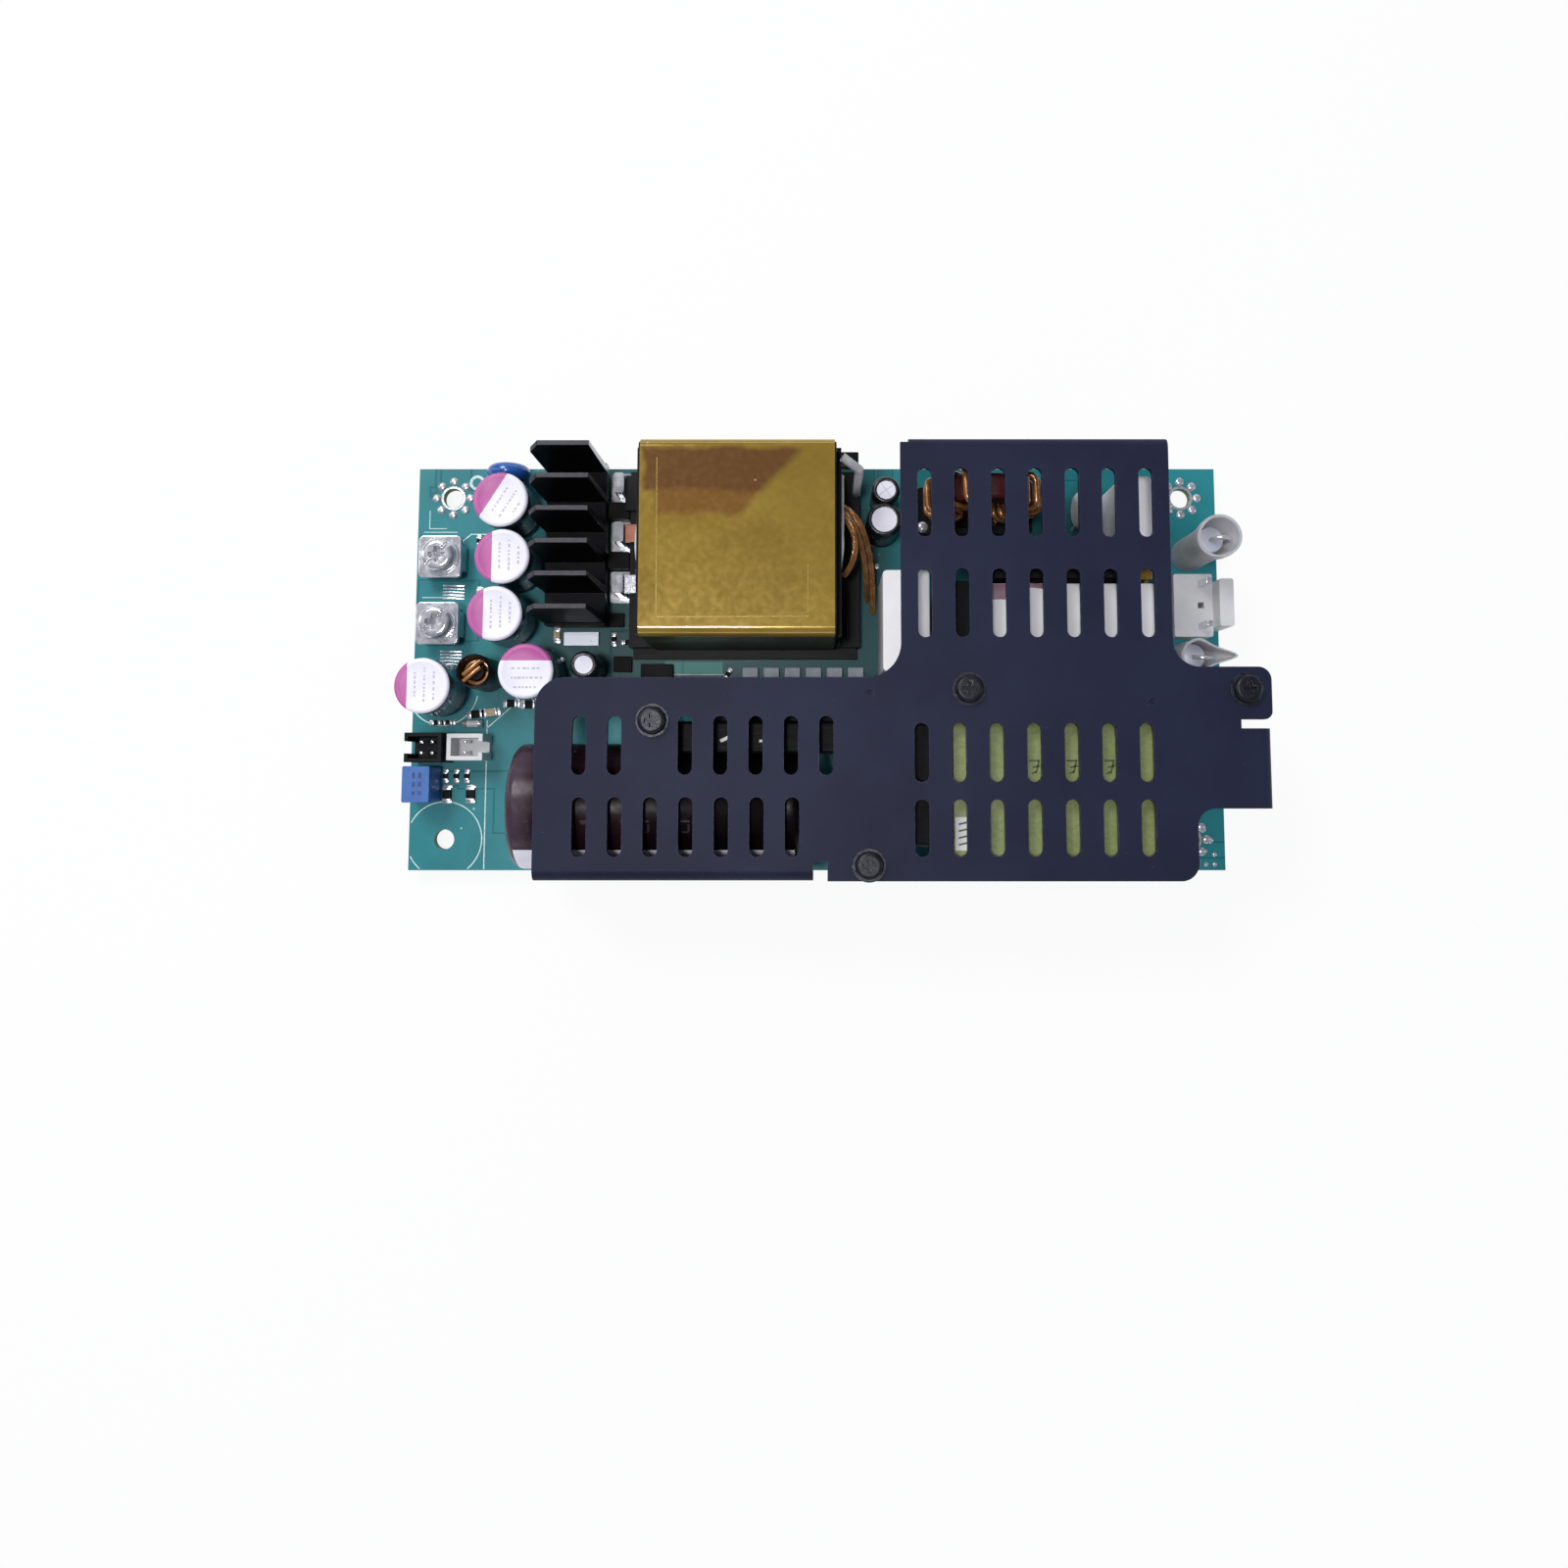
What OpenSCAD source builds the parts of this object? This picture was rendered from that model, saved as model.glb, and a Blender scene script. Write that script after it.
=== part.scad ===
// Open frame power supply: a circuit board with its power parts, partly under
// a folded, slotted black sheet cover. The origin is the centre of the four
// mounting holes on the board's underside, with X along the board and Z up.

/* [Board] */
// Length of the board along X
board_length = 152.4; // [151.6:0.2:158]
// Width of the board along Y
board_width = 76.2; // [76:0.2:80]
// Thickness of the board
board_thickness = 1.6; // [1.2:0.1:2.4]
// Distance from a mounting hole's centre to the board's short edge
hole_inset_x = 6.6; // [5.5:0.1:7]
// Distance from a mounting hole's centre to the board's long edge
hole_inset_y = 5.7; // [5:0.1:6.5]
// Diameter of the mounting holes
mounting_hole_d = 3.7; // [3:0.1:4.4]

/* [Cover] */
// Clear height between the board and the cover plate
cover_clearance = 23.4; // [23.2:0.1:26]
// Thickness of the cover's sheet
sheet = 1; // [0.8:0.1:1.4]
// Inside radius of the cover's bends
bend_r = 0.8; // [0.5:0.1:1.5]
// Left end of the cover
cover_left = -47.4; // [-49:0.1:-45]
// Bottom edge of the cover, at the outside of its front bend
cover_bottom = -38; // [-39:0.1:-37.6]
// Top edge of the cover's long low part
cover_low_top = -4; // [-4.5:0.1:-3]
// Right edge of the cover's lower corner
cover_lower_right = 63.6; // [62:0.1:65]
// Left edge of the upright tab
tab_left = 14.3; // [13.9:0.1:14.7]
// Right edge of the upright tab
tab_right = 60.2; // [59.8:0.1:61]
// Top edge of the upright tab, at the outside of its back bend
tab_top = 37.4; // [37:0.1:38.4]
// Top edge of the arm that carries the outer screw
arm_top = -2.2; // [-2.8:0.1:-1.8]
// Right end of the arm and of the lip
arm_right = 76.6; // [76:0.1:78]
// Upper and lower ends of the bent lip
lip_span = [-26, -12.6]; // [-27:0.1:-12]
// Width of the relief notch over the lip
relief_width = 1.5; // [1:0.1:2]
// Length of the relief notch over the lip
relief_length = 5.3; // [4:0.1:6]
// Depth of the back flange
back_flange_depth = 12; // [6:0.5:15]
// How far the back flange starts from the tab's left edge
back_flange_inset = 1.5; // [0:0.1:4]
// Depth of the front flange
front_flange_depth = 9; // [5:0.5:15]
// Depth of the side lip
lip_depth = 5; // [3:0.5:10]
// Right end of the front flange
front_flange_end = -0.6; // [-1:0.1:0]
// Width of the notch beside the front flange
front_notch_width = 2.4; // [2:0.1:3]
// Depth of the notch beside the front flange
front_notch_depth = 3.2; // [2.5:0.1:4]
// Width of a ventilation slot
slot_width = 2.4; // [1.6:0.1:3]
// Pitch of the slots on the right
slot_pitch = 6.3; // [5.6:0.05:6.4]
// Pitch of the slots on the left
left_slot_pitch = 5.93; // [5.2:0.05:6]

/* [Cover screws] */
// Places of the four cover screws and their standoffs
cover_screws_at = [[-27.6, -11.3], [25.6, -6], [72.3, -6], [8.7, -35.4]];
// Thread diameter of the cover and standoff screws
screw_d = 3; // [2.5:0.1:3.2]
// Head diameter of the cover and standoff screws
screw_head_d = 4.8; // [4.4:0.1:5.4]
// Head height of the cover and standoff screws
screw_head_h = 1.7; // [1.2:0.1:1.9]
// Clearance round a screw in its hole, on the radius
screw_clearance = 0.2; // [0.1:0.05:0.4]
// Thread that a cover or standoff screw has inside its standoff
screw_engagement = 5; // [4:0.5:6]
// Width across the flats of a standoff
standoff_flats = 5; // [4.6:0.1:5.4]

/* [Main transformer] */
// Centre of the transformer
transformer_at = [-13.5, 19.9]; // [-20:0.1:25]
// Length of the transformer's core along X
transformer_length = 33.8; // [32:0.1:34]
// Width of the transformer's core along Y
transformer_width = 33.2; // [32:0.1:34]
// Height of the transformer's core
transformer_height = 23.8; // [20:0.1:25]
// Thickness of the tape that wraps a core
tape = 0.4; // [0.2:0.05:0.6]
// Thickness of the bobbin plate under a core
bobbin_plate = 1.2; // [0.8:0.1:2]

/* [Boost choke] */
// Centre of the boost choke
boost_choke_at = [40.3, -23.6]; // [-30:0.1:45]
// Length of the choke's core along X
boost_choke_length = 34.8; // [32:0.1:35.2]
// Width of the choke's core along Y
boost_choke_width = 24.6; // [22:0.1:25.2]
// Height of the choke's core
boost_choke_height = 19.4; // [16:0.1:20.4]

/* [Output side] */
// Centres of the five polymer capacitors
output_capacitors_at = [[-57.3, 29.3], [-56.8, 18.9], [-57.9, 8.5], [-52.1, -1.9], [-70.6, -4.5]];
// Diameter of a polymer capacitor
output_capacitor_d = 10; // [8:0.1:10.2]
// Height of a polymer capacitor
output_capacitor_h = 12.5; // [9:0.5:16]
// Centres of the two output terminals
terminals_at = [[-70.6, 20.4], [-70.8, 7.8]];
// Side of a square output terminal
terminal_side = 8; // [7:0.1:8.4]
// Height of an output terminal
terminal_h = 4.2; // [3:0.1:6]
// Diameter of a terminal screw's head
terminal_screw_head_d = 6.2; // [5.6:0.1:6.6]
// Centre of the rod choke
rod_choke_at = [-62, -1.7]; // [-63:0.1:2]
// Outside diameter of the rod choke's sleeve
rod_choke_d = 6.3; // [5.8:0.1:6.4]
// Height of the rod choke's sleeve
rod_choke_h = 10.6; // [8:0.1:14]
// Centre of the rectifier heatsink
heatsink_at = [-45, 22.6]; // [-46:0.1:24]
// Length of the heatsink's extrusion along X
heatsink_length = 11.2; // [9:0.1:11.4]
// Pitch of the heatsink's fins
fin_pitch = 5.7; // [4.5:0.1:5.8]
// Number of fins
fin_count = 6; // [4:1:6]
// Thickness of a fin at its tip
fin_tip = 0.9; // [0.6:0.1:1.4]
// Thickness of a fin at its root
fin_root = 1.4; // [1.2:0.1:2]
// Height of the fins over the heatsink's base
fin_height = 17.6; // [10:0.1:20]
// Thickness of the heatsink's base
heatsink_base = 2.6; // [2:0.1:4]

/* [Capacitors] */
// Diameter of the bulk capacitor
bulk_d = 22; // [18:0.1:22.4]
// Length of the bulk capacitor
bulk_length = 50.5; // [40:0.5:51]
// Centre of the bulk capacitor's length, and its axis
bulk_at = [-27.8, -25.9]; // [-31:0.1:-25]
// Diameter of the bulk capacitor's leads
bulk_lead_d = 1; // [0.6:0.1:1.5]
// Size of the large white film capacitor
line_capacitor_size = [29, 11.6, 19.5]; // [8:0.1:30]
// Size of the narrow white film capacitor
film_capacitor_size = [8.3, 18, 17]; // [6:0.1:20]
// Diameter of the blue disc capacitor
disc_d = 8; // [6:0.1:9]
// Thickness of the blue disc capacitor
disc_t = 3; // [2:0.1:3.4]

/* [Input side] */
// Outside diameter of the common mode choke's core
toroid_d = 19; // [17:0.1:19.4]
// Inside diameter of the common mode choke's core
toroid_bore = 10.4; // [9.6:0.1:11]
// Thickness of the common mode choke's core along its axis
toroid_t = 4.6; // [4:0.1:5]
// Diameter of the common mode choke's wire
toroid_wire_d = 1.1; // [0.8:0.05:1.2]
// Turns in each winding of the common mode choke
toroid_turns = 7; // [5:1:8]
// Pitch of the mains header's pins
header_pitch = 3.96; // [3.5:0.01:4]
// Outside width of a fuse's sleeve
fuse_sleeve_d = 6.8; // [6.4:0.1:7]
// Height of the upper fuse's sleeve
fuse_sleeve_h = 18; // [15:0.5:21]

/* [Small parts] */
// Pitch of the black signal header's pins
signal_pitch = 2; // [1.8:0.05:2.1]
// Size of the blue trimmer
trimmer_size = [5, 6.6, 7.2]; // [4:0.1:8]
// Height of a trimmed lead and its solder under the board
joint_h = 2.2; // [1.9:0.1:3]

/* [Hidden] */

$fn = 48;
// Overlap that makes neighbouring shapes of one solid join
lap = 0.02;
// Gap that keeps two touching curved parts apart
gap = 0.1;

board_top = board_thickness;
cover_z = board_top + cover_clearance;
holes_at = [for (sx = [-1, 1], sy = [-1, 1])
    [sx * (board_length / 2 - hole_inset_x), sy * (board_width / 2 - hole_inset_y)]];
shank_r = screw_d / 2;
clearance_r = shank_r + screw_clearance;
standoff_bore = screw_engagement + 2;

// Corner radii of the cover
cover_corner_r = 5;
tab_inner_r = 6;
arm_inner_r = 4.5;
arm_corner_r = 2.2;
arm_lower_corner_r = 1.4;
lip_inner_r = 3;
lower_corner_r = 3;
bend_outer = bend_r + sheet;
// Each slot row is its first slot's centre and its lower and upper ends
slot_rows = [[18.4, 20, 32], [18.4, 2.8, 14.6], [17.6, -21.6, -11.7], [17.6, -34, -24.5]];
slot_columns = 7;
left_slot_rows = [[-39.9, -20.4, -10.5], [-39.7, -34, -24.1]];
left_slot_columns = [[0, 1, 3, 4, 5, 6, 7], [0, 1, 2, 3, 4, 5, 6]];
dimples_at = [[9, -6.6], [56.4, -8.1]];

// A square plate of side r with a round corner taken out, from a corner point
// towards the signs sx and sy: it fills an inner corner or trims an outer one
module corner_web(at, sx, sy, r) {
    translate(at)
        mirror([sx < 0 ? 1 : 0, 0])
            mirror([0, sy < 0 ? 1 : 0])
                difference() {
                    translate([-lap, -lap]) square(r + lap);
                    translate([r, r]) circle(r);
                }
}

// A rectangle between two corner points
module rectangle(low, high) {
    translate(low) square(high - low);
}

// A rectangle with four round corners, centred
module rounded_rectangle(size, r) {
    square([size[0] - 2 * r, size[1]], center = true);
    square([size[0], size[1] - 2 * r], center = true);
    for (sx = [-1, 1], sy = [-1, 1])
        translate([sx * (size[0] / 2 - r), sy * (size[1] / 2 - r)]) circle(r);
}

// A box with round upright edges, standing on z = 0
module rounded_box(size, r) {
    linear_extrude(size[2]) rounded_rectangle([size[0], size[1]], r);
}

// A sharp box that stands on z = 0, centred in X and Y
module post(size) {
    translate([-size[0] / 2, -size[1] / 2, 0]) cube(size);
}

// A slot along Y between two centres' outer ends
module slot(x, low, high, width) {
    translate([x - width / 2, low + width / 2]) square([width, high - low - width]);
    for (y = [low + width / 2, high - width / 2]) translate([x, y]) circle(width / 2);
}

// A tube swept along a path, with a normal given for each ring
module swept_tube(path, normals, r, sides) {
    count = len(path);
    tangents = [for (i = [0:count - 1])
        let (t = path[min(i + 1, count - 1)] - path[max(i - 1, 0)]) t / norm(t)];
    rings = [for (i = [0:count - 1])
        let (
            b = cross(tangents[i], normals[i]) / norm(cross(tangents[i], normals[i])),
            n = cross(b, tangents[i])
        )
        for (k = [0:sides - 1]) path[i] + r * (cos(360 * k / sides) * n + sin(360 * k / sides) * b)];
    walls = [for (i = [0:count - 2], k = [0:sides - 1])
        let (a = i * sides + k, c = i * sides + (k + 1) % sides)
            each [[a, c, c + sides], [a, c + sides, a + sides]]];
    start_cap = [[for (k = [sides - 1:-1:0]) k]];
    end_cap = [[for (k = [0:sides - 1]) (count - 1) * sides + k]];
    polyhedron(rings, concat(walls, start_cap, end_cap));
}

// A round wire along a short list of points, bent sharply at each
module wire(points, d) {
    for (i = [0:len(points) - 2])
        let (a = points[i], run = points[i + 1] - points[i])
            translate(a)
                rotate([0, acos(run[2] / norm(run)), atan2(run[1], run[0])])
                    cylinder(d = d, h = norm(run), $fn = 24);
    for (i = [1:len(points) - 2]) translate(points[i]) sphere(d = d, $fn = 24);
}

// A round can with a rounded top edge and a crimp groove near its base
module can(d, h, edge, crimp_z, crimp_r) {
    rotate_extrude() {
        difference() {
            union() {
                square([d / 2, h - edge]);
                square([d / 2 - edge, h]);
                translate([d / 2 - edge, h - edge]) circle(edge, $fn = 32);
            }
            translate([-d, 0]) square([d, h]);
            translate([d / 2 + crimp_r / 2, crimp_z]) circle(crimp_r, $fn = 32);
        }
    }
}

// Width and length of a screw's cross recess, as shares of its head, and how
// much wider its flange is than its head
recess_width_share = 0.16;
recess_length_share = 0.5;
flange_share = 1.16;
flange_h = 0.4;

// A pan head screw on a flange, with a cross recess: the head is above z = 0,
// the shank below. A slotted one also has a slot right across its head.
module cross_screw(head_d, head_h, shank_d, shank_length, slotted = false) {
    edge = head_h * 0.45;
    recess_width = head_d * recess_width_share;
    recess_length = head_d * recess_length_share;
    difference() {
        union() {
            rotate_extrude() {
                intersection() {
                    union() {
                        square([head_d / 2, head_h - edge]);
                        square([head_d / 2 - edge, head_h]);
                        translate([head_d / 2 - edge, head_h - edge]) circle(edge, $fn = 32);
                    }
                    square([head_d, head_h]);
                }
            }
            cylinder(d = head_d * flange_share, h = flange_h);
            translate([0, 0, -shank_length]) cylinder(d = shank_d, h = shank_length + lap);
        }
        for (turn = [0, 90])
            rotate(turn)
                translate([0, 0, head_h])
                    cube([recess_length, recess_width, head_h * 1.1], center = true);
        if (slotted)
            rotate(45)
                translate([0, 0, head_h])
                    cube([head_d * 1.1, recess_width, head_h * 0.7], center = true);
    }
}

// ---- Board ----

module circuit_board() {
    color("#1f9088")
        difference() {
            translate([-board_length / 2, -board_width / 2, 0])
                cube([board_length, board_width, board_thickness]);
            for (at = holes_at)
                translate([at[0], at[1], -1]) cylinder(d = mounting_hole_d, h = board_thickness + 2);
            for (at = cover_screws_at)
                translate([at[0], at[1], -1]) cylinder(r = clearance_r, h = board_thickness + 2);
        }
}

// ---- Cover ----

// The flat plate's outline, with every bend cut back to its tangent line
module cover_outline() {
    difference() {
        union() {
            rectangle([cover_left, cover_bottom + bend_outer], [cover_lower_right, cover_low_top]);
            rectangle([front_flange_end, cover_bottom], [cover_lower_right, cover_low_top]);
            rectangle([tab_left, cover_low_top - lap], [tab_right, tab_top - bend_outer]);
            rectangle([tab_left, tab_top - bend_outer - lap], [tab_left + back_flange_inset - lap, tab_top - bend_outer / 2]);
            rectangle([tab_right - 20, lip_span[1] + relief_width], [arm_right, arm_top]);
            rectangle([tab_right - 20, lip_span[0]], [arm_right - bend_outer, arm_top - 5]);
            corner_web([tab_left, cover_low_top], -1, 1, tab_inner_r);
            corner_web([tab_right, arm_top], 1, 1, arm_inner_r);
            corner_web([cover_lower_right, lip_span[0]], 1, -1, lip_inner_r);
        }
        corner_web([cover_left, cover_low_top], 1, -1, cover_corner_r);
        corner_web([cover_lower_right, cover_bottom], -1, 1, lower_corner_r);
        corner_web([arm_right, arm_top], -1, -1, arm_corner_r);
        corner_web([arm_right, lip_span[1] + relief_width], -1, 1, arm_lower_corner_r);
        rectangle([arm_right - relief_length, lip_span[1]], [arm_right + 1, lip_span[1] + relief_width]);
        rectangle(
            [front_flange_end, cover_bottom - 1],
            [front_flange_end + front_notch_width, cover_bottom + front_notch_depth]
        );
    }
}

// A bend along +X at the origin, turning down from the plate at -Y: the plate's
// tangent edge is at y = -bend_outer and the flange's outside is at y = 0
module down_flange(length, depth) {
    rotate([90, 0, 90])
        linear_extrude(length) {
            difference() {
                intersection() {
                    translate([-bend_outer, sheet - bend_outer]) circle(bend_outer);
                    translate([-bend_outer - lap, sheet - bend_outer]) square([bend_outer + lap, bend_outer]);
                }
                translate([-bend_outer, sheet - bend_outer]) circle(bend_r);
            }
            translate([-sheet, sheet - depth]) square([sheet, depth - bend_outer + lap]);
        }
}

module safety_cover() {
    color("#23242b")
        translate([0, 0, cover_z]) {
            difference() {
                linear_extrude(sheet)
                    difference() {
                        cover_outline();
                        for (row = slot_rows, i = [0:slot_columns - 1])
                            slot(row[0] + i * slot_pitch, row[1], row[2], slot_width);
                        for (r = [0, 1], i = left_slot_columns[r])
                            slot(
                                left_slot_rows[r][0] + i * left_slot_pitch,
                                left_slot_rows[r][1], left_slot_rows[r][2], slot_width
                            );
                        for (at = cover_screws_at) translate(at) circle(clearance_r);
                    }
                for (at = dimples_at)
                    translate([at[0], at[1], sheet * 0.6]) cylinder(d = 1.2, h = sheet, $fn = 24);
            }
            translate([tab_left + back_flange_inset, tab_top, 0])
                down_flange(tab_right - tab_left - back_flange_inset, back_flange_depth);
            translate([front_flange_end, cover_bottom, 0])
                rotate(180) down_flange(front_flange_end - cover_left, front_flange_depth);
            translate([arm_right, lip_span[1], 0])
                rotate(-90) down_flange(lip_span[1] - lip_span[0], lip_depth);
        }
}

module cover_screws() {
    color("#1b1b1e")
        for (at = cover_screws_at)
            translate([at[0], at[1], cover_z + sheet])
                cross_screw(screw_head_d, screw_head_h, screw_d, sheet + screw_engagement);
}

module cover_standoffs() {
    color("#c9c4b4")
        for (at = cover_screws_at)
            translate([at[0], at[1], board_top])
                difference() {
                    cylinder(d = standoff_flats / cos(30), h = cover_clearance, $fn = 6);
                    translate([0, 0, cover_clearance - standoff_bore]) cylinder(d = screw_d + gap, h = 2 * standoff_bore);
                    translate([0, 0, -standoff_bore]) cylinder(d = screw_d + gap, h = 2 * standoff_bore);
                }
}

module standoff_screws() {
    color("#c4c6c8")
        for (at = cover_screws_at)
            translate([at[0], at[1], 0])
                rotate([180, 0, 0]) cross_screw(screw_head_d, screw_head_h, screw_d, board_thickness + screw_engagement);
}

// ---- Wrapped cores: the main transformer and the boost choke ----
// A wrapped core has its open ends along X. Two E halves meet half way up a
// round middle post, a bobbin carries the winding on it, and tape wraps the
// core over its long sides.

core_leg = 3.6;
core_back = 4.8;
front_rail = [2, 1.7];
core_split = 0.1;
core_corner_r = 1.2;
tape_bottom = board_top + bobbin_plate + gap;
core_bottom = tape_bottom + tape;
spool_wall = 0.9;
bobbin_web = 1.2;
flange_overhang = 0.8;
winding_bulge = 1.4;

module core_profile(width, height) {
    translate([0, height / 2]) rounded_rectangle([width, height], core_corner_r);
}

// Turns a profile drawn across Y and Z into a bar along X, centred
module bar_along_x(length) {
    translate([-length / 2, 0, 0]) rotate([90, 0, 90]) linear_extrude(length) children();
}

module ferrite_core(at, length, width, height, post_r) {
    color("#2a2725")
        translate([at[0], at[1], core_bottom])
            difference() {
                bar_along_x(length) core_profile(width, height);
                difference() {
                    translate([-length, -width / 2 + core_leg, core_back])
                        cube([2 * length, width - 2 * core_leg, height - 2 * core_back]);
                    cylinder(r = post_r, h = height);
                }
                translate([-length, -width, height / 2]) cube([2 * length, 2 * width, core_split]);
            }
}

module core_tape(at, length, width, height) {
    translate([at[0], at[1], tape_bottom])
        bar_along_x(length - 0.6)
            difference() {
                translate([0, height / 2 + tape])
                    rounded_rectangle([width + 2 * tape, height + 2 * tape], core_corner_r + tape);
                translate([0, tape]) core_profile(width, height);
            }
}

// Base plate, two pin rails, and the spool whose flanges widen past the core's ends
module core_bobbin(at, length, width, height, post_r, rail, rail_h) {
    window_low = core_bottom - board_top + core_back + gap;
    window_high = core_bottom - board_top + height - core_back - gap;
    inner_width = width - 2 * core_leg - 2 * gap;
    color("#17181b")
        translate([at[0], at[1], board_top]) {
            post([length + 2 * rail, width, bobbin_plate]);
            // Front rail, which keeps the core clear of the parts before it
            translate([0, -width / 2 - front_rail[0] / 2 + lap / 2, 0])
                post([length + 2 * rail - 1, front_rail[0] + lap, front_rail[1]]);
            for (side = [-1, 1]) {
                translate([side * (length / 2 + rail / 2 + gap / 2), 0, 0])
                    post([rail - gap, width, rail_h]);
                translate([side * (length / 2 + gap + bobbin_web / 2), 0, 0])
                    post([bobbin_web, inner_width * 0.7, window_low + spool_wall]);
                for (z = [window_low, window_high - spool_wall])
                    translate([side * (length / 2 + gap + flange_overhang / 2), 0, z])
                        post([flange_overhang, width, spool_wall]);
            }
            difference() {
                union() {
                    for (z = [window_low, window_high - spool_wall])
                        translate([0, 0, z])
                            post([length + 2 * gap + 2 * lap, inner_width, spool_wall]);
                    translate([0, 0, window_low])
                        cylinder(r = post_r + gap + spool_wall, h = window_high - window_low);
                }
                cylinder(r = post_r + gap, h = height * 2);
            }
        }
}

module core_winding(at, length, width, height, post_r) {
    low = core_bottom + core_back + gap + spool_wall;
    high = core_bottom + height - core_back - gap - spool_wall;
    translate([at[0], at[1], low])
        intersection() {
            difference() {
                cylinder(r = length / 2 + winding_bulge, h = high - low, $fn = 96);
                translate([0, 0, -1]) cylinder(r = post_r + gap + spool_wall, h = height);
            }
            translate([-length, -width / 2 + core_leg + 2 * gap, 0])
                cube([2 * length, width - 2 * core_leg - 4 * gap, height]);
        }
}

transformer_post_r = 6.5;
transformer_rail = 4.6;
transformer_rail_h = 4;
boost_post_r = 5.5;
boost_rail = 1.6;
boost_rail_h = 3;
boost_pin_pitch = 16;

module transformer_core() {
    ferrite_core(transformer_at, transformer_length, transformer_width, transformer_height, transformer_post_r);
}

module transformer_tape() {
    color("#a8862a")
        core_tape(transformer_at, transformer_length, transformer_width, transformer_height);
}

module transformer_bobbin() {
    core_bobbin(
        transformer_at, transformer_length, transformer_width, transformer_height,
        transformer_post_r, transformer_rail, transformer_rail_h
    );
}

module transformer_winding() {
    color("#b9b6a4")
        core_winding(transformer_at, transformer_length, transformer_width, transformer_height, transformer_post_r);
}

transformer_right = transformer_at[0] + transformer_length / 2;
transformer_left = transformer_at[0] - transformer_length / 2;
lead_d = 1.1;
lead_sides = 8;
winding_face = transformer_right + winding_bulge;

// A smooth curve through four handles, as a cubic
function curve(a, b, c, d, steps) = [for (i = [0:steps])
    let (t = i / steps, s = 1 - t) s * s * s * a + 3 * s * s * t * b + 3 * s * t * t * c + t * t * t * d];

lead_routes = [
    [[0.4, 6.6, 15], [3.4, 4, 16], [4.6, -2, 12], [5, -7.4, board_top]],
    [[0.4, 8, 13.4], [4.4, 6, 14.6], [6, -1, 11], [6.1, -9.8, board_top]],
    [[0.4, 5.2, 17], [2.6, 3, 18], [3.4, -1.5, 17], [0.4, -4.6, 14]]
];

module transformer_leads() {
    color("#b9803c")
        for (route = lead_routes)
            let (
                base = [winding_face - 0.3, transformer_at[1], 0],
                path = curve(base + route[0], base + route[1], base + route[2], base + route[3], 12)
            )
                swept_tube(path, [for (p = path) [1, 0.4, 0]], lead_d / 2, lead_sides);
}

lead_sleeve_d = 1.6;
lead_sleeve_out = 4;
lead_sleeve_y = transformer_at[1] + 12.6;
lead_sleeve_z = 22.6;

// A white sleeve that leaves the tape's corner and turns down to the pin rail
module lead_sleeve() {
    down_x = transformer_right + lead_sleeve_out;
    color("#e8e8e4")
        wire([
            [transformer_right + 1, lead_sleeve_y + 2, lead_sleeve_z + 1],
            [down_x, lead_sleeve_y, lead_sleeve_z],
            [down_x, lead_sleeve_y, board_top + transformer_rail_h]
        ], lead_sleeve_d);
}

// ---- Secondary side of the transformer ----

lug_x = transformer_left - transformer_rail - 1.9;
lugs_y = [33.9, 24.6, 15];
lug_size = [1.9, 3.8, 6.4];
lug_frame = [4, 6, 1];
lug_frame_shift = -0.3;
lug_window = [2, 4.2];
foil_t = 0.8;
foil_width = 3.4;
foil_z = 5.8;
foil_rise = 7;
foils_y = [30.6, 24.6, 15];

// Each foil leaves the winding between the core's legs, turns down outside the
// bobbin's flange and runs out to its lug
module secondary_foils() {
    drop_x = transformer_left - max(flange_overhang, winding_bulge) - 2 * gap - foil_t;
    low_x = lug_x + lug_size[0] / 2 + gap;
    color("#b06a3a")
        for (i = [0:2]) {
            side_y = max(0, abs(foils_y[i] - transformer_at[1]) - foil_width / 2);
            reach = transformer_at[0] - sqrt(pow(transformer_length / 2 + winding_bulge, 2) - pow(side_y, 2));
            low_y = min(foils_y[i], lugs_y[i]) - foil_width / 2;
            high_y = max(foils_y[i], lugs_y[i]) + foil_width / 2;
            translate([low_x, low_y, foil_z]) cube([drop_x + foil_t - low_x, high_y - low_y, foil_t]);
            translate([drop_x, foils_y[i] - foil_width / 2, foil_z]) {
                cube([foil_t, foil_width, foil_rise]);
                translate([0, 0, foil_rise - foil_t])
                    cube([reach - gap - drop_x, foil_width, foil_t]);
            }
        }
}

module secondary_lugs() {
    color("#dcdad4")
        for (y = lugs_y) {
            translate([lug_x, y, board_top]) {
                rounded_box(lug_size, 0.5);
                difference() {
                    translate([lug_frame_shift, 0, 0]) rounded_box(lug_frame, 0.6);
                    translate([lug_size[0] / 2 + lug_window[0] / 2 - lap, 0, -1])
                        post([lug_window[0], lug_window[1], lug_frame[2] + 2]);
                }
            }
        }
}

// ---- Rectifier heatsink and its transistors ----

heatsink_z = board_top + 2.5;
heatsink_width = (fin_count - 1) * fin_pitch + fin_root + 0.8;
package_size = [7.4, 8, 2.5];
fin_corner = 2.2;

// The comb section across Y and Z
module heatsink_section() {
    first = -(fin_count - 1) * fin_pitch / 2;
    translate([-heatsink_width / 2, 0]) square([heatsink_width, heatsink_base]);
    for (i = [0:fin_count - 1])
        translate([first + i * fin_pitch, heatsink_base - lap])
            polygon([
                [-fin_root / 2, 0], [fin_root / 2, 0],
                [fin_tip / 2, fin_height], [-fin_tip / 2, fin_height]
            ]);
}

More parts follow.
